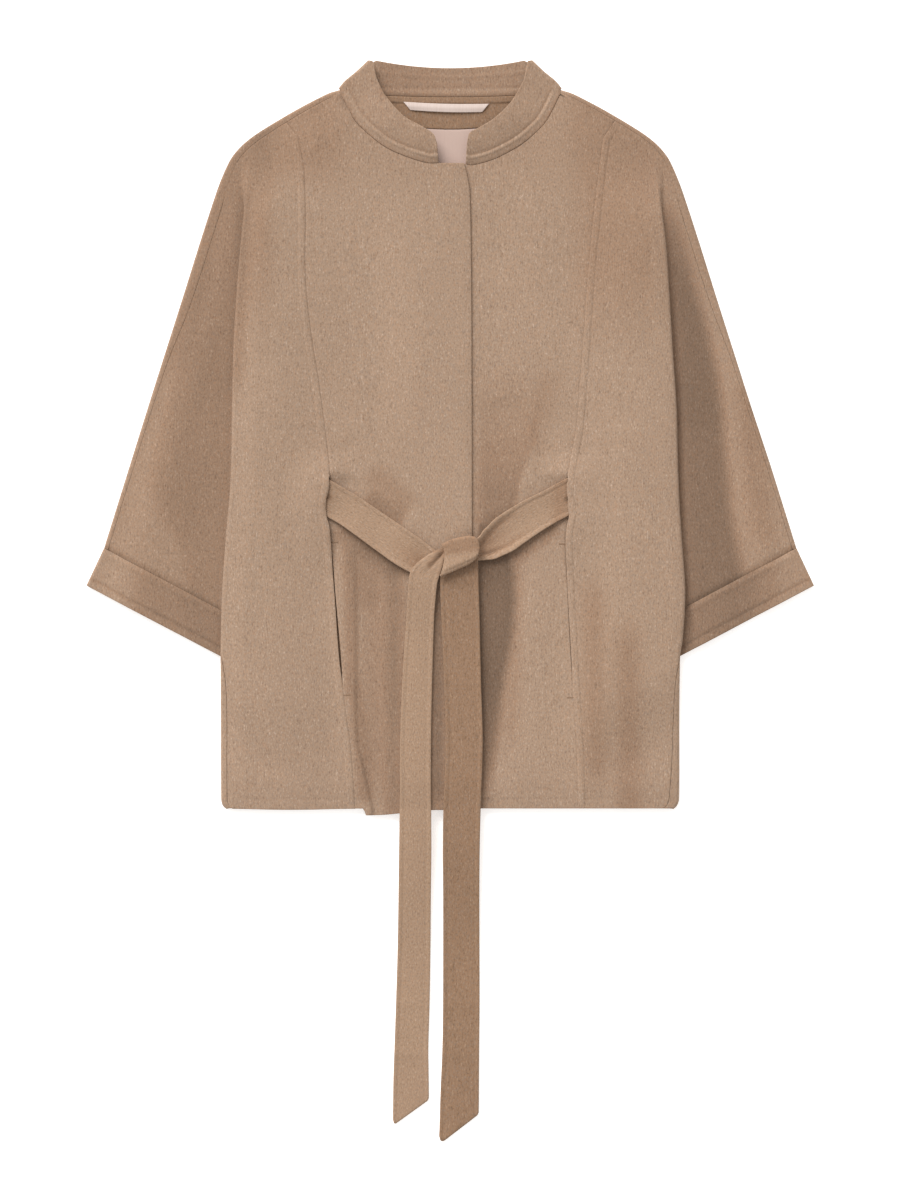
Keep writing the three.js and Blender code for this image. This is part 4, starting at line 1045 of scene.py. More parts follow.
@dataclass(frozen=True)
class WoolCoating:
    """Double-faced wool coating: spun from dyed fibres of several tones, fulled and brushed downward.

    It gives the eye a matt, slightly fuzzy ground, with short streaks of the fibres' tones along the nap.
    """

    name: str = "brushed_wool_coating"
    ground: str = "#a38974"
    dark: str = "#7f6755"
    light: str = "#c7b09d"
    warm: str = "#b78a69"
    grey: str = "#8a8079"
    halo: str = "#e8d8c6"
    turned: str = "#efe8e3"  # what the ground's tone is multiplied by at light painted shade
    shaded: str = "#b6b2af"  # and at the deepest painted shade
    flecks: float = 0.26  # how strongly the odd-toned fibres show
    sheen: float = 0.2
    fleck: float = 1.25  # width of a tuft of fibres in millimetres, coarser than a fibre so that it shows
    nap: float = 2.6  # its length along the nap
    thread: Triple = (0.9, 9.0, 0.9)  # size of the spun threads' streaks
    dyed: Triple = (1.7, 2.2, 1.7)  # and of the odd-toned tufts
    patch: float = 46.0  # size of the soft changes of tone in millimetres
    uneven: Pair = (0.965, 1.035)  # how dark and how light they are
    ramp: Quad = (0.30, 0.49, 0.56, 0.72)  # where the streaks' tones lie
    raised: float = 0.0005  # height of the nap's bump in metres
    relief: float = 0.6  # and its strength
    spun: float = 0.3  # share of the threads in the streaks
    fine_detail: Pair = (3.0, 0.62)  # of the fibres' noise: detail and roughness
    thread_detail: Pair = (2.0, 0.5)
    dyed_detail: Pair = (2.0, 0.55)
    patch_detail: Pair = (3.0, 0.5)
    patch_length: float = 2.1  # of a change of tone, along the nap, in widths
    patch_range: Pair = (0.3, 0.7)
    warm_range: Pair = (0.55, 0.68)  # which tufts are the warm ones
    grey_range: Pair = (0.45, 0.33)  # and which the grey
    little: float = 0.25  # painted shade at which the lighter tint is reached
    roughness: float = 0.95
    ior: float = 1.45  # a wool fibre's is 1.55, and less reads truer on a matt pile
    gloss: float = 0.2
    fuzz: float = 0.5  # roughness of the sheen
    space: PatternSpace = PatternSpace.PLACE

    def material(self) -> bpy.types.Material:
        """Builds the material.

        Returns:
            The material.
        """
        made = new_material(self.name)
        tree = made.node_tree
        place = add_node(tree, "ShaderNodeTexCoord").outputs[self.space.value]
        fibres = self._noise(tree, place, (self.fleck, self.nap, self.fleck), *self.fine_detail)
        threads = self._noise(tree, place, self.thread, *self.thread_detail)
        tones = self._noise(tree, place, self.dyed, *self.dyed_detail)
        patch = (self.patch, self.patch_length * self.patch, self.patch)
        patches = self._noise(tree, place, patch, *self.patch_detail)
        streaks = add_node(
            tree, "ShaderNodeMix", values={0: self.spun}, links={2: fibres, 3: threads}, data_type="FLOAT"
        ).outputs[0]
        ramp = add_node(tree, "ShaderNodeValToRGB", links={0: streaks})
        stops = tuple(zip(self.ramp, (self.dark, self.ground, self.ground, self.light)))
        for _ in stops[2:]:
            ramp.color_ramp.elements.new(0.5)
        for element, (position, colour) in zip(ramp.color_ramp.elements, stops):
            element.position = position
            element.color = linear(colour)
        colour = ramp.outputs["Color"]
        for tint, (low, high) in ((self.warm, self.warm_range), (self.grey, self.grey_range)):
            share = add_node(
                tree, "ShaderNodeMapRange", values={1: low, 2: high, 3: 0.0, 4: self.flecks}, links={0: tones}
            ).outputs[0]
            colour = add_node(
                tree, "ShaderNodeMix", values={7: linear(tint)}, links={0: share, 6: colour}, data_type="RGBA"
            ).outputs[2]
        (low, high), (dark, light) = self.patch_range, self.uneven
        tone = add_node(
            tree, "ShaderNodeMapRange", values={1: low, 2: high, 3: dark, 4: light}, links={0: patches}
        ).outputs[0]
        colour = add_node(
            tree, "ShaderNodeVectorMath", links={0: colour, 3: tone}, operation="SCALE"
        ).outputs[0]
        # The nap attribute darkens the ground: painted shade, with the pile's darker tone.
        nap = add_node(tree, "ShaderNodeAttribute", attribute_name="nap").outputs["Fac"]
        shade = add_node(tree, "ShaderNodeValToRGB", links={0: nap})
        shade.color_ramp.elements.new(self.little)
        for element, tint in zip(shade.color_ramp.elements, ("#ffffff", self.turned, self.shaded)):
            element.color = linear(tint)
        colour = add_node(
            tree, "ShaderNodeMix", values={0: 1.0}, links={6: colour, 7: shade.outputs["Color"]},
            data_type="RGBA", blend_type="MULTIPLY",
        ).outputs[2]
        bump = add_node(
            tree, "ShaderNodeBump", values={"Strength": self.relief, "Distance": self.raised},
            links={"Height": streaks},
        )
        shader = add_node(
            tree,
            "ShaderNodeBsdfPrincipled",
            values={
                "Roughness": self.roughness,
                "IOR": self.ior,
                "Specular IOR Level": self.gloss,
                "Sheen Weight": self.sheen,
                "Sheen Roughness": self.fuzz,
                "Sheen Tint": linear(self.halo),
            },
            links={"Base Color": colour, "Normal": bump.outputs[0]},
        )
        add_node(tree, "ShaderNodeOutputMaterial", links={0: shader.outputs[0]})
        return made

    def _noise(
        self, tree: bpy.types.NodeTree, place: bpy.types.NodeSocket, size: Triple,
        detail: float, roughness: float,
    ) -> bpy.types.NodeSocket:
        """Noise whose features are of a size in millimetres along each axis.

        Args:
            tree: the material's tree.
            place: what the noise is laid out on.
            size: the features' size.
            detail: how many finer layers it has.
            roughness: how strong those are.

        Returns:
            The noise's socket.
        """
        scale = tuple(MM / s for s in size)
        spread = add_node(tree, "ShaderNodeMapping", values={"Scale": scale}, links={"Vector": place})
        values = {"Scale": 1.0, "Detail": detail, "Roughness": roughness}
        links = {"Vector": spread.outputs[0]}
        return add_node(tree, "ShaderNodeTexNoise", values=values, links=links).outputs[0]


@dataclass(frozen=True)
class Satin:
    """Viscose satin: smooth long floats of thread, which shine softly and show a faint rib along the warp."""

    name: str = "viscose_satin"
    ground: str = "#c5aca0"
    shade: str = "#bda397"
    thread: float = 0.8  # thread spacing in millimetres, coarser than the real 0.1 so that it shows
    roughness: float = 0.42
    sheen: float = 0.1
    stretch: float = 60.0  # repeats of the rib's noise to a metre along a thread
    relief: float = 0.2  # strength of the rib's bump
    raised: float = 0.0002  # and its height in metres
    ior: float = 1.5

    def material(self) -> bpy.types.Material:
        """Builds the material.

        Returns:
            The material.
        """
        made = new_material(self.name)
        tree = made.node_tree
        place = add_node(tree, "ShaderNodeTexCoord").outputs["Object"]
        spread = add_node(
            tree, "ShaderNodeMapping", links={"Vector": place},
            values={"Scale": (MM / self.thread, self.stretch, self.stretch)},
        )
        values, links = {"Scale": 1.0, "Detail": 2.0}, {"Vector": spread.outputs[0]}
        rib = add_node(tree, "ShaderNodeTexNoise", values=values, links=links).outputs[0]
        tones = {6: linear(self.ground), 7: linear(self.shade)}
        colour = add_node(tree, "ShaderNodeMix", values=tones, links={0: rib}, data_type="RGBA").outputs[2]
        bump = add_node(
            tree, "ShaderNodeBump", values={"Strength": self.relief, "Distance": self.raised},
            links={"Height": rib},
        )
        shader = add_node(
            tree,
            "ShaderNodeBsdfPrincipled",
            values={"Roughness": self.roughness, "IOR": self.ior, "Sheen Weight": self.sheen},
            links={"Base Color": colour, "Normal": bump.outputs[0]},
        )
        add_node(tree, "ShaderNodeOutputMaterial", links={0: shader.outputs[0]})
        return made


@dataclass(frozen=True)
class PlainFinish:
    """A plain, matt finish with a fine grain, as spun thread has."""

    name: str
    ground: str
    shade: str
    grain: float  # millimetres
    roughness: float = 0.9

    def material(self) -> bpy.types.Material:
        """Builds the material.

        Returns:
            The material.
        """
        made = new_material(self.name)
        tree = made.node_tree
        place = add_node(tree, "ShaderNodeTexCoord").outputs["Object"]
        values = {"Scale": MM / self.grain, "Detail": 2.0}
        grain = add_node(tree, "ShaderNodeTexNoise", values=values, links={"Vector": place}).outputs[0]
        tones = {6: linear(self.ground), 7: linear(self.shade)}
        colour = add_node(tree, "ShaderNodeMix", values=tones, links={0: grain}, data_type="RGBA").outputs[2]
        values = {"Roughness": self.roughness}
        shader = add_node(tree, "ShaderNodeBsdfPrincipled", values=values, links={"Base Color": colour})
        add_node(tree, "ShaderNodeOutputMaterial", links={0: shader.outputs[0]})
        return made


class Finish(Enum):
    """The finishes of the coat."""

    # Brushed wool coating, its nap lying down the coat: the body's ground tone.
    WOOL = WoolCoating()
    # The same wool, darker and redder: painted shade on the neck and pocket facings, and the left tail's
    # tone.
    WOOL_SHADED_AND_AGAINST_NAP = WoolCoating(
        name="brushed_wool_shaded_and_against_nap", ground="#90735c", dark="#705742", light="#b0937b", warm="#a17554"
    )
    # The belt's wool: sewn double and pressed, a little warmer.
    BELT_WOOL = WoolCoating(
        name="pressed_wool_belt", ground="#a2866f", dark="#7f6550", light="#c4ab96", space=PatternSpace.CLOTH
    )
    # Dusty pink viscose satin, the coat's lining.
    LINING = Satin()
    # The hanger loop's woven tape: fine and tight, so smoother than the wool.
    TAPE = Satin(name="woven_viscose_tape", ground="#d8c7bf", shade="#c7b3a7", thread=1.0, roughness=0.6)
    # Spun wool sewing thread, a shade darker than the cloth it sinks into.
    THREAD = PlainFinish("spun_wool_thread", "#9a7e67", "#886c55", 0.6)


@dataclass(frozen=True)
class Cut:
    """A piece of cloth as it was cut: its width and length in metres, and how it lies."""

    width: float
    length: float
    held: str = "laid"
    rests_on: tuple[str, ...] = ()


@dataclass
class Workroom:
    """What every sub-assembly shares: the coat's form, its place in the row frame and its materials."""

    form: CoatForm
    placement: Placement
    materials: dict[Finish, bpy.types.Material] = field(default_factory=dict)

    def material(self, finish: Finish) -> bpy.types.Material:
        """The material of a finish, built once.

        Args:
            finish: the finish.

        Returns:
            Its material.
        """
        if finish not in self.materials:
            self.materials[finish] = finish.value.material()
        return self.materials[finish]

    def shell(
        self, name: str, grids: Sequence[Array], thickness: float, chart: Array | None = None,
        rounding: float = 0.35, with_coat_shade: bool = False, painted_shade: Array | None = None,
    ) -> bpy.types.Object:
        """A closed shell of cloth from grids of points at its middle.

        Args:
            name: the new object's name.
            grids: points by row and column.
            thickness: the cloth's.
            chart: a place on the flat cloth for each point of the only grid.
            rounding: how round its edges are.
            with_coat_shade: whether it takes the whole coat's painted shade.
            painted_shade: how much painted shade it takes besides, at each point of the only grid.

        Returns:
            The shell.
        """
        points = np.concatenate([g.reshape(-1, 3) for g in grids])
        nap = PaintedShadeAndPile(self.form).share(points[:, 0], points[:, 1]) if with_coat_shade else np.zeros(len(points))
        if painted_shade is not None:
            nap = np.clip(nap + painted_shade.reshape(-1), 0, 1)
        return ClothWall(self.placement, thickness, rounding).build(name, grids, chart, nap)

    def dress(
        self, piece: bpy.types.Object, node: str, slot: str, finish: Finish, cut: Cut | None = None,
        with_pieces: Sequence[bpy.types.Object] = (),
    ) -> bpy.types.Object:
        """Gives a piece its material and its body, and hides the solid that it stands for.

        Args:
            piece: the finished piece.
            node: the solid that it stands for, or nothing where it stands for none.
            slot: not used.
            finish: what it is made of.
            cut: not used.
            with_pieces: not used.

        Returns:
            The piece.
        """
        piece.data.materials.clear()
        piece.data.materials.append(self.material(finish))
        area = piece.get("cut_area", 0.0)
        if "cut_area" in piece:
            del piece["cut_area"]
        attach(piece, "root")
        if node:
            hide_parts(node)
        size = f", {area:.4f} m2 of cloth" if area else ""
        LOG.info("%s: %d faces%s", piece.name, len(piece.data.polygons), size)
        return piece


# ---- The back --------------------------------------------------------------------------------------------
@dataclass
class Back:
    """The back with both sleeve backs, cut in one and lying on the table."""

    room: Workroom
    rim_reach: float = -12.0  # how far round the sleeve's edge its rounded part goes
    top_reach: float = -5.0  # the same in the top row
    armpit_share: float = 0.8
    near_band: float = 31.0  # how wide the finer part beside the armpit is
    seam_tail: float = 14.0  # how far in from the side seam its folded part goes
    flat_columns: int = 10
    near_columns: int = 30
    far_columns: int = 14
    sleeve_flat: int = 6
    under_width: float = 4.8  # how the sleeve's inner edge is spaced where it leaves the body
    under_start: float = 2.5

    def rim(self, side: int, y: float, reach: float) -> Array:
        """Points from the over-arm seam round the sleeve's outer edge to its underside.

        Args:
            side: -1 for the wearer's right side, 1 for the left.
            y: height above the hem.
            reach: how far round the last point is.

        Returns:
            The points.
        """
        form = self.room.form
        seam = OVERARM_SEAM.beside(side, y) - form.stitched / 2
        return form.arm_rim(side, y, graded((seam, 4), (form.quarter, 8), (-form.quarter, 4), (reach, 0)))

    def upper_half(self, side: int, rank: float) -> Array:
        """One row above the underarm, from the over-arm seam to the coat's centre.

        Args:
            side: -1 for the wearer's right side, 1 for the left.
            rank: which row it is of BACK_ROWS, or what share between two.

        Returns:
            The row's points.
        """
        form = self.room.form
        last = len(BACK_ROWS) - 1
        centre, overarm = (np.interp(rank, np.arange(last + 1), BACK_ROWS[:, k]) for k in range(2))
        rim = self.rim(side, overarm, mix(self.top_reach, self.rim_reach, ease(rank)))
        inner = abs(rim[-1, 0])
        t = rank / last
        armpit = mix(self.armpit_share * inner, SLEEVE_UNDER_EDGE.read("half", form.underarm), ease(t))
        sleeve = mix(inner, armpit, np.arange(1, self.flat_columns + 1) / (self.flat_columns + 1))
        total = self.near_columns + self.far_columns
        even = armpit * (1 - np.arange(total + 1) / total)
        near = graded((armpit, self.near_columns), (armpit - self.near_band, self.far_columns), (0, 0))
        half = np.concatenate([sleeve, mix(even, near, ease(t * t))])
        straight = mix(centre, rim[-1, 1], np.clip(half / inner, 0, 1))
        y = mix(form.back_neck(half), straight, ease(rank))
        return np.vstack([rim, np.column_stack([side * half, y, np.full(len(half), form.back_z)])])

    def lower_half(self, side: int, y: float) -> Array:
        """One row below the underarm, from the side seam to the coat's centre.

        Args:
            side: -1 for the wearer's right side, 1 for the left.
            y: height above the hem.

        Returns:
            The row's points.
        """
        form = self.room.form
        seam = SIDE_SEAM.beside(side, y) - form.seam / 2
        end = min(-form.quarter - 2, seam - self.seam_tail)
        rim = form.body_rim(side, y, np.linspace(seam, end, 15))
        near_end = SLEEVE_UNDER_EDGE.read("half", y) - self.near_band
        half = graded((abs(rim[-1, 0]), 16), (near_end, self.far_columns), (0, 0))[1:]
        flat = np.column_stack([side * half, np.full(len(half), y), form.back_height(half, y)])
        return np.vstack([rim, flat])

    def sleeve(self, side: int, joined: Array) -> Array:
        """The sleeve's back below the underarm, from the row that joins it to the body's.

        Args:
            side: -1 for the wearer's right side, 1 for the left.
            joined: the row that joins it.

        Returns:
            The rows' points.
        """
        form = self.room.form
        angles = -UNDER_ANGLES[::-1]
        count = len(angles)
        rows = [joined]
        for rank, row in enumerate(SLEEVE_ROWS[1:], start=1):
            rim = self.rim(side, row[0], self.rim_reach)
            if rank > 1:
                edge = form.under_rim(side, row, angles)
            else:
                spacing = np.linspace(self.under_width, 0, count)
                half = SLEEVE_UNDER_EDGE.read("half", row[1]) + self.under_start + spacing
                edge = np.column_stack([side * half, np.full(count, row[1]), np.full(count, form.back_z)])
            t = np.arange(1, self.sleeve_flat + 1)[:, None] / (self.sleeve_flat + 1)
            rows.append(np.vstack([rim, mix(rim[-1], edge[0], t), edge]))
        under = rows[-1][:, 2] < form.front_z - form.turn - 0.5
        rows[-1][:, 1] = form.cuff_seam(np.abs(rows[-1][:, 0])) + form.seam - form.seam_shift * under
        return refine_straight(np.array(rows), 6)

    def build(self) -> bpy.types.Object:
        """Makes the back and dresses it.

        Returns:
            The dressed piece.
        """
        form = self.room.form
        ranks = graded((0, 8), (1, 6 * (len(BACK_ROWS) - 2)), (len(BACK_ROWS) - 1, 0))
        halves = [np.array([self.upper_half(side, rank) for rank in ranks]) for side in (-1, 1)]
        body_start = halves[0].shape[1] - (self.near_columns + self.far_columns + 1)
        grids = [np.concatenate([halves[0], halves[1][:, -2::-1]], axis=1)]
        heights = np.concatenate([[371, 366, 362], graded((359, 80), (12, 5), (2, 1), (0, 0))])
        lower = []
        for k, side in enumerate((-1, 1)):
            first = halves[k][-1][body_start:]
            rows = [self.lower_half(side, y) for y in heights]
            start = [mix(first, rows[0], t) for t in JOINING]
            lower.append(np.array(start + rows))
        grids.append(np.concatenate([lower[0], lower[1][:, -2::-1]], axis=1))
        for k, side in enumerate((-1, 1)):
            sleeve = self.sleeve(side, halves[k][-1][: body_start + 1])
            grids.append(sleeve if side < 0 else sleeve[:, ::-1])
        piece = self.room.shell("wool_back", grids, form.cloth, with_coat_shade=True)
        return self.room.dress(piece, "back", "wool", Finish.WOOL, Cut(0.727, 0.722))


# ---- The side fronts -------------------------------------------------------------------------------------
@dataclass
class SideFront:
    """A side front cut in one with its sleeve front, from the princess seam to the over-arm seam."""

    room: Workroom
    side: int
    node: str
    fell: float = 6.2  # width of the felled seam allowance
    fell_rise: float = 0.65
    fell_start: Ramp = Ramp(-0.4, 1.8)  # by the distance from the seam
    fell_end: Ramp = Ramp(-1.2, 2.4)  # by the distance past the allowance
    groove: Hump = Hump(0.9, 0.9, -0.12)  # the same
    hem_sag: Hump = Hump(-160, 52, 1.4)  # how much lower the left hem hangs, across the coat
    hem_near: Ramp = Ramp(14, -14)
    hem_margin: float = 8.0  # how far short of the body's fold the hem's line stops
    armpit_slack: Triple = (1.2, 8.0, 16.0)  # of the side seam: depth, start, length
    seam_step: float = 1.1  # least length of cloth between two columns round the fold
    join: float = 0.5  # how far the row under the armpit follows the one above
    body_columns: int = 46
    sleeve_columns: int = 34
    rows_each: int = 9
    near_seam: float = 0.955
    fell_columns: tuple[float, ...] = (0, 1.3, 2.0, 3.0, 4.2, 5.2, 5.9, 6.6, 7.2, 7.9, 8.8, 10.2, 12.0)

    def seam_at(self, y: Number) -> Number:
        """Half width of this piece's edge along the princess seam."""
        return PRINCESS_SEAM.beside(self.side, y) + self.room.form.seam_gap(self.side, y) / 2

    def relief(self, half: Array, y: Array) -> Array:
        """What stands up from the laid cloth: the felled seam, the slot's lip and the hem's turning.

        Args:
            half: distance from the centre line.
            y: height above the hem.

        Returns:
            How far, at each place.
        """
        off = half - PRINCESS_SEAM.beside(self.side, y)
        band = self.fell_rise * (self.fell_start.at(off) - self.fell_end.at(off - self.fell))
        groove = self.groove.at(off - self.fell)
        hem = HEM_LINE.at(y) * (half < BODY_EDGE.beside(self.side, y) - self.hem_margin)
        return band + groove + self.room.form.slot_lip(np.maximum(off, 0), y) + hem

    def point(self, half: Array, y: Array) -> Array:
        """Points on the laid side front."""
        z = self.room.form.front_height(self.side * half, y) + self.relief(half, y)
        return np.column_stack([self.side * half, y, z])

    def columns(self, seam: float, start: float) -> Array:
        """Half widths from the seam to the fold, close together along the felled seam.

        Args:
            seam: half width of the seam.
            start: half width of the fold.

        Returns:
            The half widths.
        """
        fine = np.array(self.fell_columns)
        wide = np.linspace(fine[-1] + seam, start, self.body_columns + 1 - len(fine))[1:-1]
        return np.concatenate([seam + fine, wide])

    def sleeve_steps(self) -> Array:
        """Where a row of the sleeve has its points, as shares of its way to the over-arm seam."""
        return graded((0, self.sleeve_columns - 4), (self.near_seam, 5), (1, 0))[1:-1, None]

    def upper_row(self, rank: float) -> Array:
        """One row above the underarm: the body, the fold beside the armpit and the sleeve.

        Args:
            rank: which row it is of ARM_ROWS, or what share between two.

        Returns:
            The row's points.
        """
        form, side = self.room.form, self.side
        ranks = np.arange(len(ARM_ROWS))
        princess, fold, overarm = (float(np.interp(rank, ranks, ARM_ROWS[:, k])) for k in range(3))
        path, reach = form.tuck_path(fold)
        start = float(BODY_EDGE.beside(side, fold)) - form.cloth / 2 - reach
        top = float(form.front_height(side * start, fold))
        end = side * (start + path[-1, 0])
        settle = top + path[-1, 1] - float(form.sleeve_height(np.array(end), np.array(fold)))
        z = top + path[:, 1] - settle * np.arange(len(path)) / (len(path) - 1)
        bend = np.column_stack([side * (start + path[:, 0]), np.full(len(path), fold), z])
        half = self.columns(float(self.seam_at(princess)), start)
        share = (half - half[0]) / (start - half[0])
        body = self.point(half, mix(princess, fold, share))
        outer = form.overarm(side, overarm)
        sleeve = mix(bend[-1], outer, self.sleeve_steps())
        sleeve[:, 2] = form.sleeve_height(sleeve[:, 0], sleeve[:, 1])
        return np.vstack([body, bend, sleeve, outer])

    def shoulder_row(self, below: Array) -> Array:
        """The top row, along the shoulder seam, with the row below it to space it by.

        Args:
            below: the row below it.

        Returns:
            The row's points.
        """
        steps = np.linalg.norm(np.diff(below, axis=0), axis=1)
        share = np.concatenate([[0], np.cumsum(steps)]) / steps.sum()
        heights = mix(ARM_ROWS[0, 0], ARM_ROWS[0, 2], share)
        return np.array([self.room.form.overarm(self.side, y) for y in heights])

    def lower_row(self, y: float) -> Array:
        """One row below the underarm: the body and its side folded to the side seam.

        Args:
            y: height above the hem.

        Returns:
            The row's points.
        """
        form = self.room.form
        slack, start, length = self.armpit_slack
        near_armpit = slack * (1 - ease((form.underarm - y - start) / length))
        seam = float(SIDE_SEAM.beside(self.side, y)) + form.seam / 2 + near_armpit
        count = form.bends + 2 + form.bends // 2
        even = np.linspace(form.quarter, max(seam, -form.quarter - 1), count)
        even[-4:] = np.linspace(even[-4], seam, 4)
        lengths = np.maximum(even, seam + self.seam_step * np.arange(count)[::-1])
        fold = form.body_rim(self.side, y, lengths)
        half = self.columns(float(self.seam_at(y)), abs(fold[0, 0]))
        return np.vstack([self.point(half, np.full(len(half), y)), fold])

    def sleeve_row(self, row: Array) -> Array:
        """One row of the sleeve below the underarm, from its inner edge to the over-arm seam.

        Args:
            row: where it meets the sleeve's outer and inner edge.

        Returns:
            The row's points.
        """
        form, side = self.room.form, self.side
        edge = form.under_rim(side, row, UNDER_ANGLES)
        outer = form.overarm(side, row[0])
        sleeve = mix(edge[-1], outer, self.sleeve_steps())
        sleeve[:, 2] = form.sleeve_height(sleeve[:, 0], sleeve[:, 1])
        return np.vstack([edge, sleeve, outer])

    def sleeve(self, opened: Array) -> Array:
        """The sleeve's front below the underarm, from the row that joins it to the body's.

        Args:
            opened: the row that joins it.

        Returns:
            The rows' points.
        """
        rows = [opened]
        form, count = self.room.form, len(UNDER_ANGLES)
        for rank, row in enumerate(SLEEVE_ROWS[1:], start=1):
            points = self.sleeve_row(row)
            if rank == 1:
                above = opened.copy()
                above[:, 1] = points[:, 1]
                points[:count] = mix(points[:count], above[:count], self.join)
            rows.append(points)
        rows[-1][:, 1] = form.cuff_seam(np.abs(rows[-1][:, 0])) + form.seam
        fine = refine_straight(np.array(rows), 12)
        shown = fine[:, count:-1]
        off = shown[:, :, 1] - form.cuff_seam(np.abs(shown[:, :, 0]))
        dip = form.seam_dip * (1 - ease(off / form.dip_reach))
        shown[:, :, 2] = form.sleeve_height(shown[:, :, 0], shown[:, :, 1]) - dip
        return fine

    def build(self) -> bpy.types.Object:
        """Makes the side front and dresses it.

        Returns:
            The dressed piece.
        """
        form = self.room.form
        first = self.upper_row(1)
        shoulder = self.shoulder_row(first)
        upper = [mix(shoulder, first, t) for t in np.linspace(0, 1, self.rows_each)[:-1]]
        last = len(ARM_ROWS) - 1
        upper += [self.upper_row(rank) for rank in np.linspace(1, last, self.rows_each * (last - 1) + 1)]
        armpit = self.body_columns - 1 + form.bends + 1 + form.bends // 2
        joined = upper[-1][: armpit + 1]
        below = graded((359.5, 110), (84, 32), (14, 10), (1.5, 1), (0, 0))
        heights = np.concatenate([[371, 368, 365, 362], below])
        rows = [self.lower_row(y) for y in heights]
        start = [mix(joined, rows[0], t) for t in JOINING]
        lower = np.array(start + rows)
        sag = self.hem_sag.at(lower[..., 0]) * self.hem_near.at(lower[..., 1])
        lower[..., 1] -= sag * (lower[..., 2] > form.front_z)
        grids = [np.array(upper), lower, self.sleeve(upper[-1][armpit:])]
        piece = self.room.shell(f"wool_{self.node}", grids, form.cloth, with_coat_shade=True)
        cut = Cut(0.29, 0.692, "folded", ("wool_back",))
        return self.room.dress(piece, self.node, "wool", Finish.WOOL, cut)


# ---- The centre fronts -----------------------------------------------------------------------------------
def neck_points(side: int, gap: float, count: int) -> Array:
    """Evenly spaced points beside the neck seam.

    Args:
        side: -1 for the left of the laid coat, 1 for the right.
        gap: how far above the seam they are.
        count: the number of steps between them.

    Returns:
        The points in x and y, from the front edge to the shoulder.
    """
    line = np.array(NECK_SEAM[side]) + np.array([-0.7 * side * gap, gap])
    return even_steps(refine(line, 20), count)


def even_steps(line: Array, count: int) -> Array:
    """Puts points on a line at even distances along it.

    Args:
        line: the line's points.
        count: how many steps.

    Returns:
        The new points.
    """
    steps = np.linalg.norm(np.diff(line, axis=0), axis=1)
    along = np.concatenate([[0], np.cumsum(steps)])
    places = np.linspace(0, along[-1], count + 1)
    return np.column_stack([np.interp(places, along, line[:, k]) for k in range(line.shape[1])])


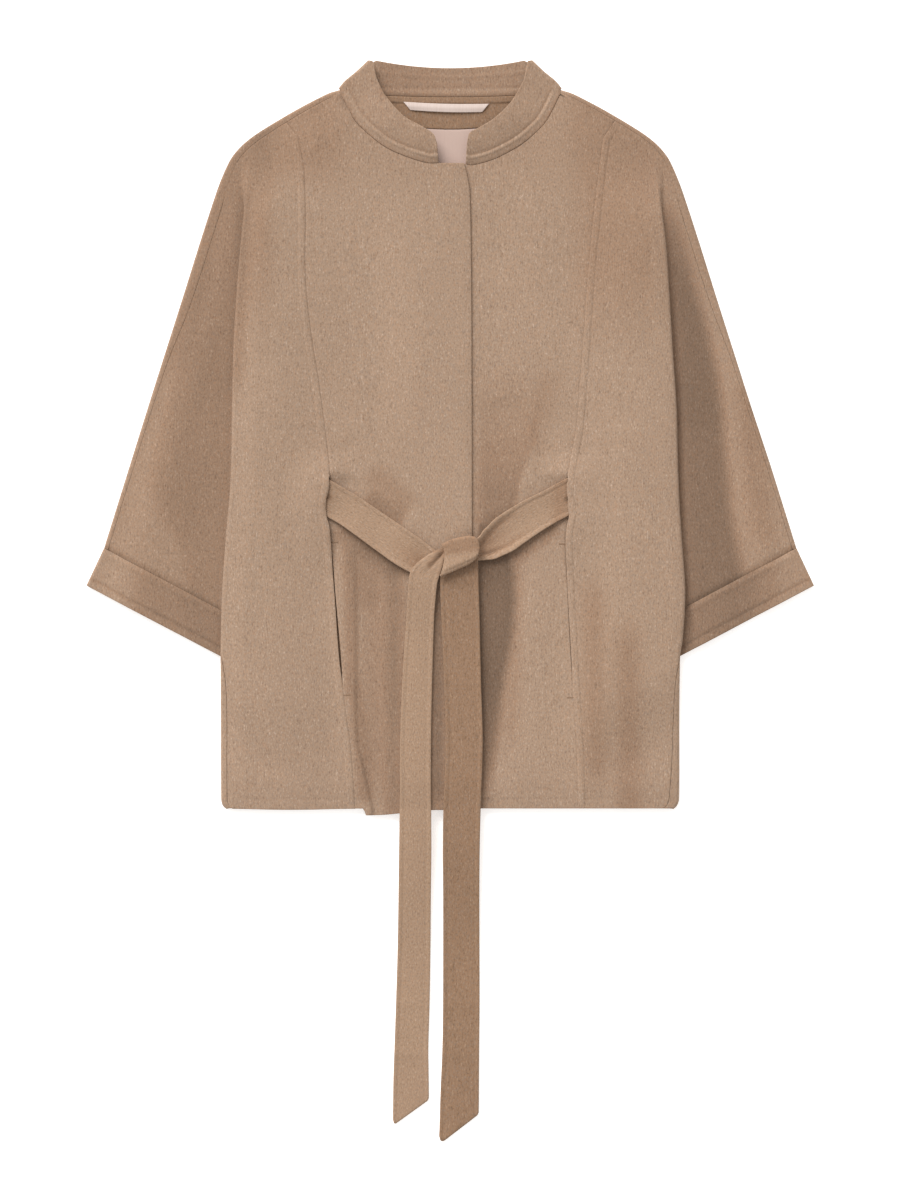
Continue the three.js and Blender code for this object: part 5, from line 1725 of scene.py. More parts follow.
@dataclass
class CentreFront:
    """A centre front, from its front edge to the princess seam and from the neck to the hem."""

    room: Workroom
    side: int
    node: str
    over_start: Pair = (13.6, 645.0)
    under_start: Pair = (-25.0, 643.5)
    under_edge: float = -25.0  # the under front's hidden edge
    over_edge: float = 22.0  # the over front's edge at the hem
    shoulder_top: float = 716.2
    hem_drop: Pair = (6.8, 1.4)  # of the over front, beside the pleat and past it
    cut_widths: Pair = (0.186, 0.178)  # of the under and the over front, in metres as the length
    cut_length: float = 0.72
    hem_start: Ramp = Ramp(-87, 3)  # across the coat, at the pleat
    hem_fade: Ramp = Ramp(-76, 62)
    edge_press: float = 0.7  # how far the over front's edge is pressed down
    edge_width: float = 7.0
    neck_columns: int = 54
    shoulder_columns: int = 14
    start_columns: int = 8

    @property
    def over(self) -> bool:
        """Whether this is the front that lies on top."""
        return self.side < 0

    def hem(self, x: Array) -> Array:
        """Height of the hem.

        Args:
            x: how far across from the centre line.

        Returns:
            The height at each place.
        """
        if not self.over:
            return np.zeros_like(x)
        return -mix(*self.hem_drop, self.hem_fade.at(x)) * self.hem_start.at(x)

    def edges(self) -> tuple[Array, Array, Array, Array, Array]:
        """The front's four edges in x and y.

        Returns:
            The neck and shoulder, the hem, the front edge, the seam, and how far down each row lies.
        """
        form = self.room.form
        start = np.array(self.over_start if self.over else self.under_start)
        neck = neck_points(self.side, -form.seam / 2, self.neck_columns)
        lead = mix(start, neck[0], np.arange(self.start_columns)[:, None] / self.start_columns)
        heights = np.linspace(self.shoulder_top, ARM_ROWS[0, 0], self.shoulder_columns)
        shoulder = np.array([form.overarm(self.side, y)[:2] for y in heights])
        top = np.vstack([lead, neck, shoulder])
        rows = graded((692, 4), (684, 240), (15, 11), (1.5, 1), (0, 0))
        half = PRINCESS_SEAM.beside(self.side, rows) - form.seam_gap(self.side, rows) / 2
        seam = np.column_stack([self.side * half, rows])
        first, second = ARM_ROWS[:2, 0]
        lead = rows > second
        foot = np.array([self.side * (PRINCESS_SEAM.beside(self.side, second) - form.stitched / 2), second])
        seam[lead] = mix(top[-1], foot, ((first - rows[lead]) / (first - second))[:, None])
        share = (rows[0] - rows) / rows[0]
        low = float(self.hem(np.array(self.over_edge)))
        y = mix(start[1], low, share)
        x = OVER_FRONT_EDGE.read("x", y) if self.over else np.full(len(y), self.under_edge)
        front = np.column_stack([x, y])
        front[0] = start
        foot = mix(front[-1, 0], seam[-1, 0], np.linspace(0, 1, len(top)))
        hem = np.column_stack([foot, self.hem(foot)])
        return top, hem, front, seam, share

    def build(self) -> bpy.types.Object:
        """Makes the front and dresses it.

        Returns:
            The dressed piece.
        """
        form = self.room.form
        top, hem, front, seam, share = self.edges()
        u = np.linspace(0, 1, len(top))[None, :, None]
        v = share[:, None, None]
        ruled = mix(top[None], hem[None], v) + mix(front[:, None], seam[:, None], u)
        corners = mix(mix(top[0], top[-1], u), mix(hem[0], hem[-1], u), v)
        flat = ruled - corners
        x, y = flat[..., 0], flat[..., 1]
        z = form.over_height(x, y) if self.over else form.front_height(x, y)
        z = z + HEM_LINE.rise * bell(y - HEM_LINE.middle - self.hem(x), HEM_LINE.width)
        z = z + form.slot_lip(np.minimum(self.side * x - PRINCESS_SEAM.beside(x, y), -0.01), y)
        if self.over:
            past = x - OVER_FRONT_EDGE.read("x", y) + self.edge_width
            z = z - self.edge_press * ease(past / self.edge_width)
        piece = self.room.shell(f"wool_{self.node}", [np.dstack([x, y, z])], form.cloth, with_coat_shade=True)
        width = self.cut_widths[self.over]
        cut = Cut(width, self.cut_length, "laid", ("wool_back", "wool_front_left")[: 1 + self.over])
        return self.room.dress(piece, self.node, "wool", Finish.WOOL, cut)


# ---- Cuffs and collar ------------------------------------------------------------------------------------
@dataclass
class Cuff:
    """A cuff: a band round the sleeve's end, seamed on and turned up inside."""

    room: Workroom
    side: int
    node: str
    nap: Triple  # share of painted shade at its inner end, its middle and its outer end
    turning: float = 8.0  # depth of the turned edge that shows as a faint line
    turning_line: Triple = (1.2, 0.8, 0.26)  # its width, depth and share of painted shade
    turning_shade: float = 1.6
    fell: Hump = Hump(4, 3.0, 0.5)  # the seam's allowance, by the distance from the seam
    dip_reach: float = 4.0
    taper: float = 0.35  # how much of the sleeve's form is gone at its open edge
    end_reach: float = 0.04  # share of its width over which the form fades at its ends
    inner_end: Ramp = Ramp(0.36, 0.18)  # by the share of its width, from its inner end
    outer_end: Ramp = Ramp(0.6, 0.25)

    def ring(self, share: float) -> Array:
        """One ring round the sleeve, from its seam to its open edge.

        Args:
            share: how far it is from the seam to the open edge.

        Returns:
            The ring's points.
        """
        form = self.room.form
        inner, outer = mix(np.array(CUFF_SEAM), np.array(CUFF_EDGE), share)
        along = (outer - inner) / np.linalg.norm(outer - inner)
        margin = form.cloth / 2 + form.turn
        ends = inner + along * margin, outer - along * margin
        angle = np.linspace(-math.pi / 2, math.pi / 2, 13)
        heights = form.front_z - form.turn + form.turn * np.sin(angle)
        rim = np.column_stack([form.turn * np.cos(angle), heights])
        far = np.column_stack([ends[1] + along * rim[:, :1], rim[:, 1]])
        near = np.column_stack([ends[0] - along * rim[::-1, :1], rim[::-1, 1]])
        t = np.linspace(0, 1, 62)[1:-1, None]
        top = mix(far[-1], near[0], t)
        half = mix(CUFF_SEAM[1][0], CUFF_SEAM[0][0], t[:, 0])
        body = form.sleeve_height(self.side * half, form.cuff_seam(half)) - form.front_z
        depth = np.linalg.norm(np.subtract(CUFF_EDGE[1], CUFF_SEAM[1]))
        fell = self.fell.at(depth * share) - form.seam_dip * (1 - ease(depth * share / self.dip_reach))
        width, drop, _ = self.turning_line
        fell = fell - drop * bell(depth * (1 - share) - self.turning, width)
        lift = ease(np.minimum(t[:, 0], 1 - t[:, 0]) / self.end_reach)
        top[:, 2] += body * (1 - self.taper * share) + fell * lift
        bottom = mix(near[-1], far[0], np.linspace(0, 1, 42)[1:-1, None])
        ring = np.vstack([far, top, near, bottom, far[:1]])
        ring[:, 0] *= self.side
        under = ring[:, 2] < form.front_z - form.turn - 0.5
        ring[under, 1] -= form.seam_shift * (1 - share)
        return ring

    def build(self) -> bpy.types.Object:
        """Makes the cuff and dresses it.

        Returns:
            The dressed piece.
        """
        shares = graded((0, 1), (0.04, 22), (0.96, 1), (1, 0))
        rings = np.array([self.ring(share) for share in shares])
        depth = float(np.linalg.norm(np.subtract(CUFF_EDGE[1], CUFF_SEAM[1])))
        fold = self.turning_line[2] * bell(depth * (1 - shares) - self.turning, self.turning_shade)[:, None]
        across = (np.abs(rings[..., 0]) - CUFF_SEAM[0][0]) / (CUFF_EDGE[1][0] - CUFF_SEAM[0][0])
        inner, middle, outer = self.nap
        painted_shade = fold + mix(middle, outer, self.outer_end.at(across))
        painted_shade = painted_shade + (inner - middle) * (1 - self.inner_end.at(across))
        piece = self.room.shell(f"wool_{self.node}", [rings], self.room.form.cloth, painted_shade=painted_shade)
        cut = Cut(0.42, 0.046, "folded", ("wool_back",))
        return self.room.dress(piece, self.node, "wool", Finish.WOOL, cut)


@dataclass
class Collar:
    """The band collar: its two front ends, its folds beside the neck and its back, seen from inside."""

    room: Workroom
    rise: float = 5.5  # its top edge stands this far off the fronts
    fell: float = 7.2
    fell_rise: float = 0.5
    fell_width: float = 1.3
    allowance: float = 0.45  # how much higher it is below the fell
    groove: Hump = Hump(2.6, 1.2, 0.4)  # by the distance past the fell
    front_end: float = 0.06
    front_columns: int = 56
    back_columns: int = 44
    height: float = 28.0  # of its back, flat
    back_ridges: tuple[Hump, Hump] = (Hump(3, 2.4, 0.5), Hump(19, 1.6, 0.35))  # by the height on its back
    back_top: Triple = (741.5, 8.2, 77.0)  # of its top edge: height, rise, half width
    # Painted shade along the neck seam and past the fell, and less on the fell: a painted highlight there.
    seam_shade: Hump = Hump(0.6, 1.6, 0.12)  # painted shade, by the distance above the neck seam
    groove_shade: Hump = Hump(3.2, 1.8, 0.1)  # and by the distance past the fell
    fell_shade: Hump = Hump(0, 1.6, 0.1)
    inside: Ramp = Ramp(66, 8)  # where its inside shows, by half width
    inside_low: float = 711.0
    inside_shade: Pair = (0.24, 0.1)  # left and right
    inside_fade: Ramp = Ramp(-50, 50)
    fold_low: Pair = (108.8, 717.6)  # middle of the roll beside the neck, at its foot
    fold_high: Pair = (77.6, 747.4)  # and at the top edge
    fold_bulge: float = 2.0  # how far it bows out between them
    tops: dict[int, tuple[Pair, ...]] = field(default_factory=lambda: {
        -1: ((-13.2, 664.5), (-17.4, 674), (-30.7, 682.5), (-47.2, 692.5), (-64.2, 712), (-73.5, 730)),
        1: ((16.8, 664.5), (19.5, 675), (30, 681), (44.5, 690), (60.5, 706), (73.5, 728)),
    })

    def relief(self, up: Array) -> Array:
        """The felled seam along the collar's foot, by distance above the neck seam."""
        band = self.allowance * (1 - ease((up - self.fell + 1) / 2))
        return self.fell_rise * bell(up - self.fell, self.fell_width) + band - self.groove.at(up - self.fell)

    def front(self, side: int, share: float) -> Array:
        """One row of a front end, from its front edge to the fold.

        Args:
            side: -1 for the wearer's right side, 1 for the left.
            share: how far up the collar the row is.

        Returns:
            The row's points.
        """
        form = self.room.form
        neck = neck_points(side, 0.1, self.front_columns)
        top = even_steps(refine(np.array(self.tops[side]), 20), self.front_columns)
        flat = mix(neck, top, share)
        base = form.over_height if side < 0 else form.front_height
        firm = base(neck[:, 0], neck[:, 1]) + self.rise * math.sin(share * math.pi / 2)
        at_fold = form.back_z + 2 * mix(form.turn, 2 * form.turn, share)
        steps = np.arange(self.front_columns + 1) / self.front_columns
        z = mix(firm, at_fold, ease((steps - 0.5) / 0.5))
        up = np.linalg.norm(top - neck, axis=1) * share
        return np.column_stack([flat, z + self.relief(up) * ease((1 - steps) / self.front_end)])

    def fold(self, side: int, share: float) -> Array:
        """One row of the fold beside the neck, from the front round to the back.

        Args:
            side: -1 for the wearer's right side, 1 for the left.
            share: how far up the collar the row is.

        Returns:
            The row's points.
        """
        form = self.room.form
        out = mix(np.array([0.64, 0.77]), np.array([0.98, 0.12]), share)
        out /= np.linalg.norm(out)
        middle = mix(np.array(self.fold_low), np.array(self.fold_high), share)
        middle = middle + out * self.fold_bulge * bell(share - 0.2, 0.3)
        radius = mix(form.turn, 2 * form.turn, share)
        angle = np.linspace(math.pi / 2, -math.pi / 2, 15)
        flat = middle + out * radius * np.cos(angle)[:, None]
        return np.column_stack([side * flat[:, 0], flat[:, 1], form.back_z + radius + radius * np.sin(angle)])

    def row(self, share: float) -> Array:
        """One row of the collar, from its left front end round the back to its right one.

        Args:
            share: how far up the collar it is.

        Returns:
            The row's points.
        """
        left = np.vstack([self.front(-1, share), self.fold(-1, share)])
        right = np.vstack([self.front(1, share), self.fold(1, share)])
        t = np.linspace(0, 1, self.back_columns)[1:-1, None]
        back = mix(left[-1], right[-1], t)
        half = np.abs(back[:, 0])
        low = self.room.form.back_neck(half) + self.room.form.seam
        top, rise, width = self.back_top
        back[:, 1] = mix(low, top + rise * (half / width) ** 2, share)
        foot, fold = self.back_ridges
        back[:, 2] += foot.at(self.height * share) + fold.at(self.height * share)
        return np.vstack([left, back, right[::-1]])

    def build(self) -> bpy.types.Object:
        """Makes the collar and dresses it.

        Returns:
            The dressed piece.
        """
        shares = graded((0, 1), (0.045, 14), (0.3, 14), (0.955, 1), (1, 0))
        rows = np.array([self.row(share) for share in shares])
        up = np.linalg.norm(rows[..., :2] - rows[:1, :, :2], axis=2)
        past = up - self.fell
        painted_shade = self.seam_shade.at(up) + self.groove_shade.at(past) - self.fell_shade.at(past)
        inside = (1 - self.inside.at(np.abs(rows[..., 0]))) * (rows[..., 1] > self.inside_low)
        painted_shade = painted_shade + inside * mix(*self.inside_shade, self.inside_fade.at(rows[..., 0]))
        piece = self.room.shell(
            "wool_collar", [rows], self.room.form.cloth, rounding=0.5, with_coat_shade=True, painted_shade=painted_shade
        )
        cut = Cut(0.47, 0.05, "folded", ("wool_front_right", "wool_front_left", "wool_back"))
        return self.room.dress(piece, "collar", "wool", Finish.WOOL, cut)


# ---- Inside the neck -------------------------------------------------------------------------------------
@dataclass
class NeckInside:
    """What shows inside the neck: the back facing, the lining below it and the hanger loop."""

    room: Workroom
    loop_thickness: float = 1.2
    loop_half_width: float = 4.2
    loop_ends: tuple[Pair, ...] = ((-47.0, 703.0), (39.0, 701.0))
    loop_lean: float = 7.0
    loop_bow: float = 1.2
    loop_rise: float = 1.1
    loop_crown: float = 0.25
    facing_half: float = 98.0
    facing_gap: float = 0.2
    facing_low: float = 680.0  # height of its lower edge at the centre
    facing_curve: float = 0.0016
    facing_ridge: Triple = (0.9, 5.2, 2.0)  # of the felled seam: height, width and fall
    lining_half: float = 76.0
    lining_low: float = 612.0
    lining_wave: float = 0.35
    lining_lengths: Pair = (9.0, 23.0)  # of its wave, across and along

    @property
    def rest(self) -> float:
        """Height of the back's upper face, with the gap over it."""
        return self.room.form.cloth + self.room.form.seam

    def low_edge(self, x: Array) -> Array:
        """Height of the facing's lower edge."""
        return self.facing_low + self.facing_curve * x * x

    def facing(self) -> bpy.types.Object:
        """Makes the wool facing, with the ridge of its felled seam along its top.

        Returns:
            The facing.
        """
        thickness = self.room.form.facing_cloth
        x = np.linspace(-self.facing_half, self.facing_half, 70)[None, :]
        t = graded((0, 1), (0.05, 10), (0.3, 12), (0.95, 1), (1, 0))[:, None]
        high = self.room.form.back_neck(np.abs(x)) - self.facing_gap
        y = mix(high, self.low_edge(x), t)
        rise, width, fall = self.facing_ridge
        ridge = rise * (1 - ease((high - y - width) / fall))
        z = self.rest + thickness / 2 + ridge + 0 * x
        return self.room.shell("wool_neck_facing", [np.dstack([x + 0 * t, y, z])], thickness, rounding=0.5)

    def lining(self) -> bpy.types.Object:
        """Makes the lining's part that shows, with a soft wave across it.

        Returns:
            The lining.
        """
        thickness = self.room.form.lining_cloth
        x = np.linspace(-self.lining_half, self.lining_half, 60)[None, :]
        t = np.linspace(0, 1, 30)[:, None]
        y = mix(self.low_edge(x) - self.room.form.seam, self.lining_low, t)
        across, along = self.lining_lengths
        wave = self.lining_wave * (1 + np.sin(x / across + y / along)) * np.sin(math.pi * t)
        z = self.rest + thickness / 2 + wave
        return self.room.shell("satin_lining", [np.dstack([x + 0 * t, y, z])], thickness, rounding=0.3)

    def loop(self) -> bpy.types.Object:
        """Makes the hanger loop: a flat tape tacked at both ends, bowed between them.

        Returns:
            The loop.
        """
        form = self.room.form
        rest = self.rest + form.facing_cloth + form.seam + self.loop_thickness / 2
        t = np.linspace(0, 1, 60)[:, None]
        bow = np.sin(math.pi * t)
        across = np.linspace(self.loop_half_width, -self.loop_half_width, 9)[None, :]
        lean = self.loop_lean * (2 * t - 1) * (across - self.loop_half_width) / (2 * self.loop_half_width)
        (left, left_y), (right, right_y) = self.loop_ends
        x = mix(left, right, t) + lean
        y = mix(left_y, right_y, t) - self.loop_bow * bow + across
        crown = self.loop_crown * np.cos(across / self.loop_half_width * math.pi)
        z = rest + self.loop_rise * bow + crown + 0 * y
        return self.room.shell("hanger_loop_tape", [np.dstack([x, y, z])], self.loop_thickness, rounding=0.4)

    def build(self) -> None:
        """Makes the pieces and dresses them."""
        loop = self.room.dress(self.loop(), "hanger_loop", "tape", Finish.TAPE)
        facing_cut = Cut(0.196, 0.04, "laid", ("wool_back",))
        # The facing's darker wool is painted shade inside the neck.
        self.room.dress(self.facing(), "neck_facing", "wool", Finish.WOOL_SHADED_AND_AGAINST_NAP, facing_cut, [loop])
        lining_cut = Cut(0.152, 0.078, "laid", ("wool_back",))
        self.room.dress(self.lining(), "lining", "lining", Finish.LINING, lining_cut)


@dataclass
class PocketFacing:
    """The strip of wool under a pocket's mouth."""

    room: Workroom
    side: int
    node: str
    ends: Pair = (272.0, 106.0)
    edges: Pair = (-13.0, 11.0)  # from the seam, toward the centre and outward
    clearance: float = 1.6

    def build(self) -> bpy.types.Object:
        """Makes the strip and dresses it.

        Returns:
            The dressed piece.
        """
        form = self.room.form
        y = np.linspace(*self.ends, 60)[:, None]
        half = PRINCESS_SEAM.beside(self.side, y) + np.linspace(*self.edges, 14)[None, :]
        under = form.cloth / 2 + form.seam + form.lining_cloth / 2 + self.clearance
        z = form.front_height(self.side * half, y + 0 * half) - under
        grid = np.dstack([self.side * half, y + 0 * half, z])
        piece = self.room.shell(f"wool_{self.node}", [grid], form.lining_cloth, rounding=0.4)
        cut = Cut(0.0245, 0.168, "laid", ("wool_back",))
        # Its darker wool is painted shade in the pocket's mouth.
        return self.room.dress(piece, self.node, "wool", Finish.WOOL_SHADED_AND_AGAINST_NAP, cut)


# ---- The belt --------------------------------------------------------------------------------------------
# Where a part of the belt has its points across, from one edge at -1 to the other at 1.
BELT_EDGE = np.array([0.62, 0.7, 0.76, 0.82, 0.88, 0.94, 1])
BELT_ACROSS = np.concatenate([-BELT_EDGE[::-1], np.linspace(-0.5, 0.5, 9), BELT_EDGE])
BELT_ROUNDING = 1.1
# The belt's pressed edge, by the distance from it: the bead of the turned cloth and the hollow beside it.
EDGE_BEAD = Hump(1.6, 1.6, 0.4)
EDGE_GAP = 0.15  # how far over the coat's cloth the belt lies besides the gap between pieces


@dataclass
class Strap:
    """A part of the belt across a front, from its slot to the knot: stations of its middle and width."""

    room: Workroom
    side: int
    node: str
    stations: tuple[Quad, ...]  # x, y, width, how far its edges roll up
    hang: float = 0.0  # how far its lower edge stands off the coat half way
    hidden_z: float = 6.8  # the strap's end inside the coat
    sink: float = 1.3  # depth of the hollow along it where it runs into the knot
    notch: Pair = (121.5, 311.0)  # the pucker where it leaves its slot, painted dark
    shade: float = 0.0  # share of painted shade beside the slot
    dive: Ramp = Ramp(-3, 15)  # down into the slot, by the distance past it
    knot_band: Ramp = Ramp(24, 6)  # where it comes out from under the knot, by half width
    near_knot: Ramp = Ramp(0.62, 0.3)  # this and the next two go by the share of the strap's length
    free: tuple[Ramp, Ramp] = (Ramp(0.2, 0.25), Ramp(0.78, 0.2))  # where its lower edge hangs free
    curl_start: Ramp = Ramp(0.74, 0.14)
    sunk_width: float = 0.45  # of the hollow, as a share of half the width
    seam_line: Hump = Hump(4.6, 1.0, 0.3)  # by the distance from an edge
    rim: Ramp = Ramp(0.7, 1.2)  # how much of a rim its edge has, by how far the edge rolls up
    rim_ridge: Hump = Hump(2.8, 2.4, 0.8)
    rim_hollow: Hump = Hump(7.2, 2.0, 0.7)
    pucker: float = 2.6
    curl: Hump = Hump(0.76, 0.09)  # by the share of the width from the upper edge down
    curl_roll: Ramp = Ramp(0.9, 0.6)
    curl_depth: float = 0.9
    shades: Quad = (0.26, 0.9, 0.4, 0.3)  # at the knot, pucker, curl and rim

    def far_end(self, x: Array) -> Array:
        """One beyond the knot's band, falling to nothing under it."""
        return self.knot_band.at(np.abs(x))

    def height(self, x: Array, y: Array) -> Array:
        """Height of the strap's middle: on the front, then down through the slot.

        Args:
            x: how far across from the centre line.
            y: height above the hem.

        Returns:
            The height at each place.
        """
        form = self.room.form
        inside = np.abs(x) - PRINCESS_SEAM.beside(self.side, y)
        over = form.cover_height(x, y) + form.on_panel + EDGE_GAP
        return mix(over, self.hidden_z, self.dive.at(inside))

    def build(self) -> bpy.types.Object:
        """Makes the strap and dresses it.

        Returns:
            The dressed piece.
        """
        form = self.room.form
        line = refine(np.array(self.stations), 8)
        middle, width, roll = line[:, :2], line[:, 2], line[:, 3]
        along = np.gradient(middle, axis=0)
        along /= np.linalg.norm(along, axis=1)[:, None]
        across = np.column_stack([-along[:, 1], along[:, 0]])
        share = BELT_ACROSS
        flat = middle[:, None] + across[:, None] * (share[None, :, None] * width[:, None, None] / 2)
        x, y = flat[..., 0], flat[..., 1]
        travel = np.concatenate([[0], np.cumsum(np.linalg.norm(np.diff(middle, axis=0), axis=1))])
        passed = (travel / travel[-1])[:, None]
        near_knot = self.near_knot.at(passed)
        down = (1 - np.sign(across[:, 1:]) * share[None, :]) / 2
        start, end = self.free
        free = start.at(passed) * (1 - end.at(passed))
        z = self.height(x, y) + roll[:, None] * np.abs(share) ** 3 + self.hang * free * down
        z = z - self.sink * near_knot * bell(share, self.sunk_width)
        from_edge = (1 - np.abs(share))[None, :] * width[:, None] / 2
        rim = self.rim.at(roll[:, None])
        z = z - self.seam_line.at(from_edge) + EDGE_BEAD.at(from_edge)
        z = z + rim * (self.rim_ridge.at(from_edge) - self.rim_hollow.at(from_edge))
        pucker = bell(np.hypot(np.abs(x) - self.notch[0], y - self.notch[1]), self.pucker)
        curl = self.curl.at(down) * self.curl_start.at(passed) * self.curl_roll.at(roll[:, None])
        z = z - self.curl_depth * curl
        groove = rim * bell(from_edge - self.rim_hollow.middle, 2.2) * self.far_end(x)
        # Painted shade at the knot, in the pucker, in the curl and along the rim's groove.
        by_knot, in_pucker, in_curl, in_rim = self.shades
        painted_shade = by_knot * near_knot * bell(share + 0.1, 0.5) * (roll[:, None] > 0) + in_pucker * pucker
        beside_slot = self.shade * bell(np.abs(x) - self.notch[0] + 6, 9)
        painted_shade = painted_shade + in_curl * curl + in_rim * groove + beside_slot
        chart = np.dstack([share[None, :] * width[:, None] / (2 * MM), travel[:, None] / MM + 0 * x])
        grid = np.dstack([x, y, z])
        piece = self.room.shell(
            f"wool_{self.node}", [grid], form.belt_cloth, chart, BELT_ROUNDING, painted_shade=painted_shade
        )
        cut = Cut(0.038, travel[-1] / MM + 0.002, "laid", ("wool_front_right", "wool_front_left"))
        return self.room.dress(piece, self.node, "belt_wool", Finish.BELT_WOOL, cut)


@dataclass
class BeltBack:
    """The belt's run round the back, hidden inside the coat."""

    room: Workroom
    half_length: float = 144.0
    half_width: float = 18.0
    middle: float = 330.0  # its height above the hem

    def build(self) -> bpy.types.Object:
        """Makes the run and dresses it.

        Returns:
            The dressed piece.
        """
        form = self.room.form
        x = np.linspace(-self.half_length, self.half_length, 60)[:, None]
        y = self.middle - self.half_width * BELT_ACROSS[None, :]
        z = form.cloth + form.seam + form.belt_cloth / 2 + 0 * x + 0 * y
        chart = np.dstack([(y + 0 * x) / MM, (x + 0 * y) / MM])
        grid = np.dstack([x + 0 * y, y + 0 * x, z])
        piece = self.room.shell("wool_belt_back", [grid], form.belt_cloth, chart, BELT_ROUNDING)
        cut = Cut(2 * self.half_width / MM, 2 * self.half_length / MM, "laid", ("wool_back",))
        return self.room.dress(piece, "belt_back", "belt_wool", Finish.BELT_WOOL, cut)


@dataclass
class Knot:
    """The knot's band: the belt wound once round its own crossed ends.

    Its outline is given by its two sides, as shares from the lower edge to the upper one and x, and by its
    two edges, as shares from the left side to the right one and y.
    """

    room: Workroom
    left: tuple[Pair, ...] = (
        (0, -10.7), (0.28, -7.4), (0.5, -6.0), (0.7, -5.6), (0.86, -6.8), (1, -9.2),
    )
    right: tuple[Pair, ...] = ((0, 25.6), (0.2, 27.8), (0.5, 29.2), (0.75, 28.8), (1, 26.4))
    upper: tuple[Pair, ...] = (
        (0, 264.4), (0.25, 268.6), (0.5, 271.2), (0.78, 272.8), (0.92, 271.6), (1, 268.5),
    )
    lower: tuple[Pair, ...] = (
        (0, 231.4), (0.27, 235.4), (0.53, 239.6), (0.74, 242.8), (0.92, 247.4), (1, 251.0),
    )
    depth: float = 1.5  # half the height of its winding at its lower edge
    fullness: float = 0.2  # how much more that is at its upper edge
    lift: Pair = (5.6, 4.8)  # of its underside over the belt, at its lower and upper edges
    crown: float = 1.7
    crown_width: float = 0.16  # share of its height over which the crown starts
    crown_top: float = 0.35  # how much of it is left at the upper edge
    pinch: Pair = (0.14, 0.06)  # how far its ends are drawn in, as shares of its length
    pinched: float = 0.8
    turn_over: Hump = Hump(0.62, 0.09, 0.14)  # where its upper part folds over, by the share of its height
    wrinkle: Triple = (0.2, 9.0, 4.0)  # height and turns along it and up it
    shade: float = 0.26  # of its upper part
    shade_line: Triple = (250.5, 0.1, 7.0)  # where that starts, its slope and its fade

    def ring(self, t: float) -> Array:
        """One ring round the winding.

        Args:
            t: how far it is from the band's left side to its right one.

        Returns:
            Its points, the last on the first.
        """
        form = self.room.form
        start, end = self.pinch
        puff = ease(min(t / start, (1 - t) / end))
        high, low = (float(np.interp(t, *np.transpose(edge))) for edge in (self.upper, self.lower))
        depths = np.array([self.depth, self.depth + self.fullness]) * mix(self.pinched, 1, puff)
        high -= form.belt_cloth / 2 + depths[1]
        low += form.belt_cloth / 2 + depths[0]
        angle = np.linspace(-math.pi / 2, math.pi / 2, 13)
        run = np.linspace(0, 1, 30)[1:-1]
        share = np.concatenate([np.ones(13), 1 - run, np.zeros(13), run])
        bulge = np.concatenate([np.cos(angle) * depths[1], 0 * run, -np.cos(angle) * depths[0], 0 * run])
        face = np.concatenate([np.sin(angle), np.ones(len(run)), np.sin(angle[::-1]), -np.ones(len(run))])
        depth = mix(depths[0], depths[1], share)
        side_share = np.clip((share * (high - low) + bulge + 3) / (high - low + 6), 0, 1)
        sides = (np.interp(side_share, *np.transpose(side)) for side in (self.left, self.right))
        x = mix(*sides, t)
        y = mix(low, high, share) + bulge
        front = (face + 1) / 2
        bow = np.sin(math.pi * share)
        shape = ease(share / self.crown_width) * mix(1, self.crown_top, share)
        high_wave, along, up = self.wrinkle
        rise = self.crown * math.sin(math.pi * t) ** 0.6 * shape
        rise = rise - self.turn_over.at(share) + high_wave * np.sin(along * t + up * share) * bow * puff
        base = float(form.cover_height(0.0, 250.0)) + form.on_panel + mix(*self.lift, ease(share / 0.5))
        ring = np.column_stack([x, y, base + depth * (1 + face) + front * rise])
        return np.vstack([ring, ring[:1]])

    def build(self) -> bpy.types.Object:
        """Makes the band and dresses it.

        Returns:
            The dressed piece.
        """
        form = self.room.form
        along = graded((0, 1), (0.03, 8), (0.16, 22), (0.84, 8), (0.97, 1), (1, 0))
        rings = np.array([self.ring(t) for t in along])
        chart = rings[..., :2] / MM
        start, slope, fade = self.shade_line
        fold = start + slope * rings[..., 0]
        painted_shade = self.shade * ease((rings[..., 1] - fold) / fade)
        piece = self.room.shell("wool_belt_knot", [rings], form.belt_cloth, chart, BELT_ROUNDING, painted_shade=painted_shade)
        cut = Cut(0.038, 0.078, "folded", ("wool_belt_strap_right", "wool_belt_strap_left"))
        return self.room.dress(piece, "belt_knot", "belt_wool", Finish.BELT_WOOL, cut)


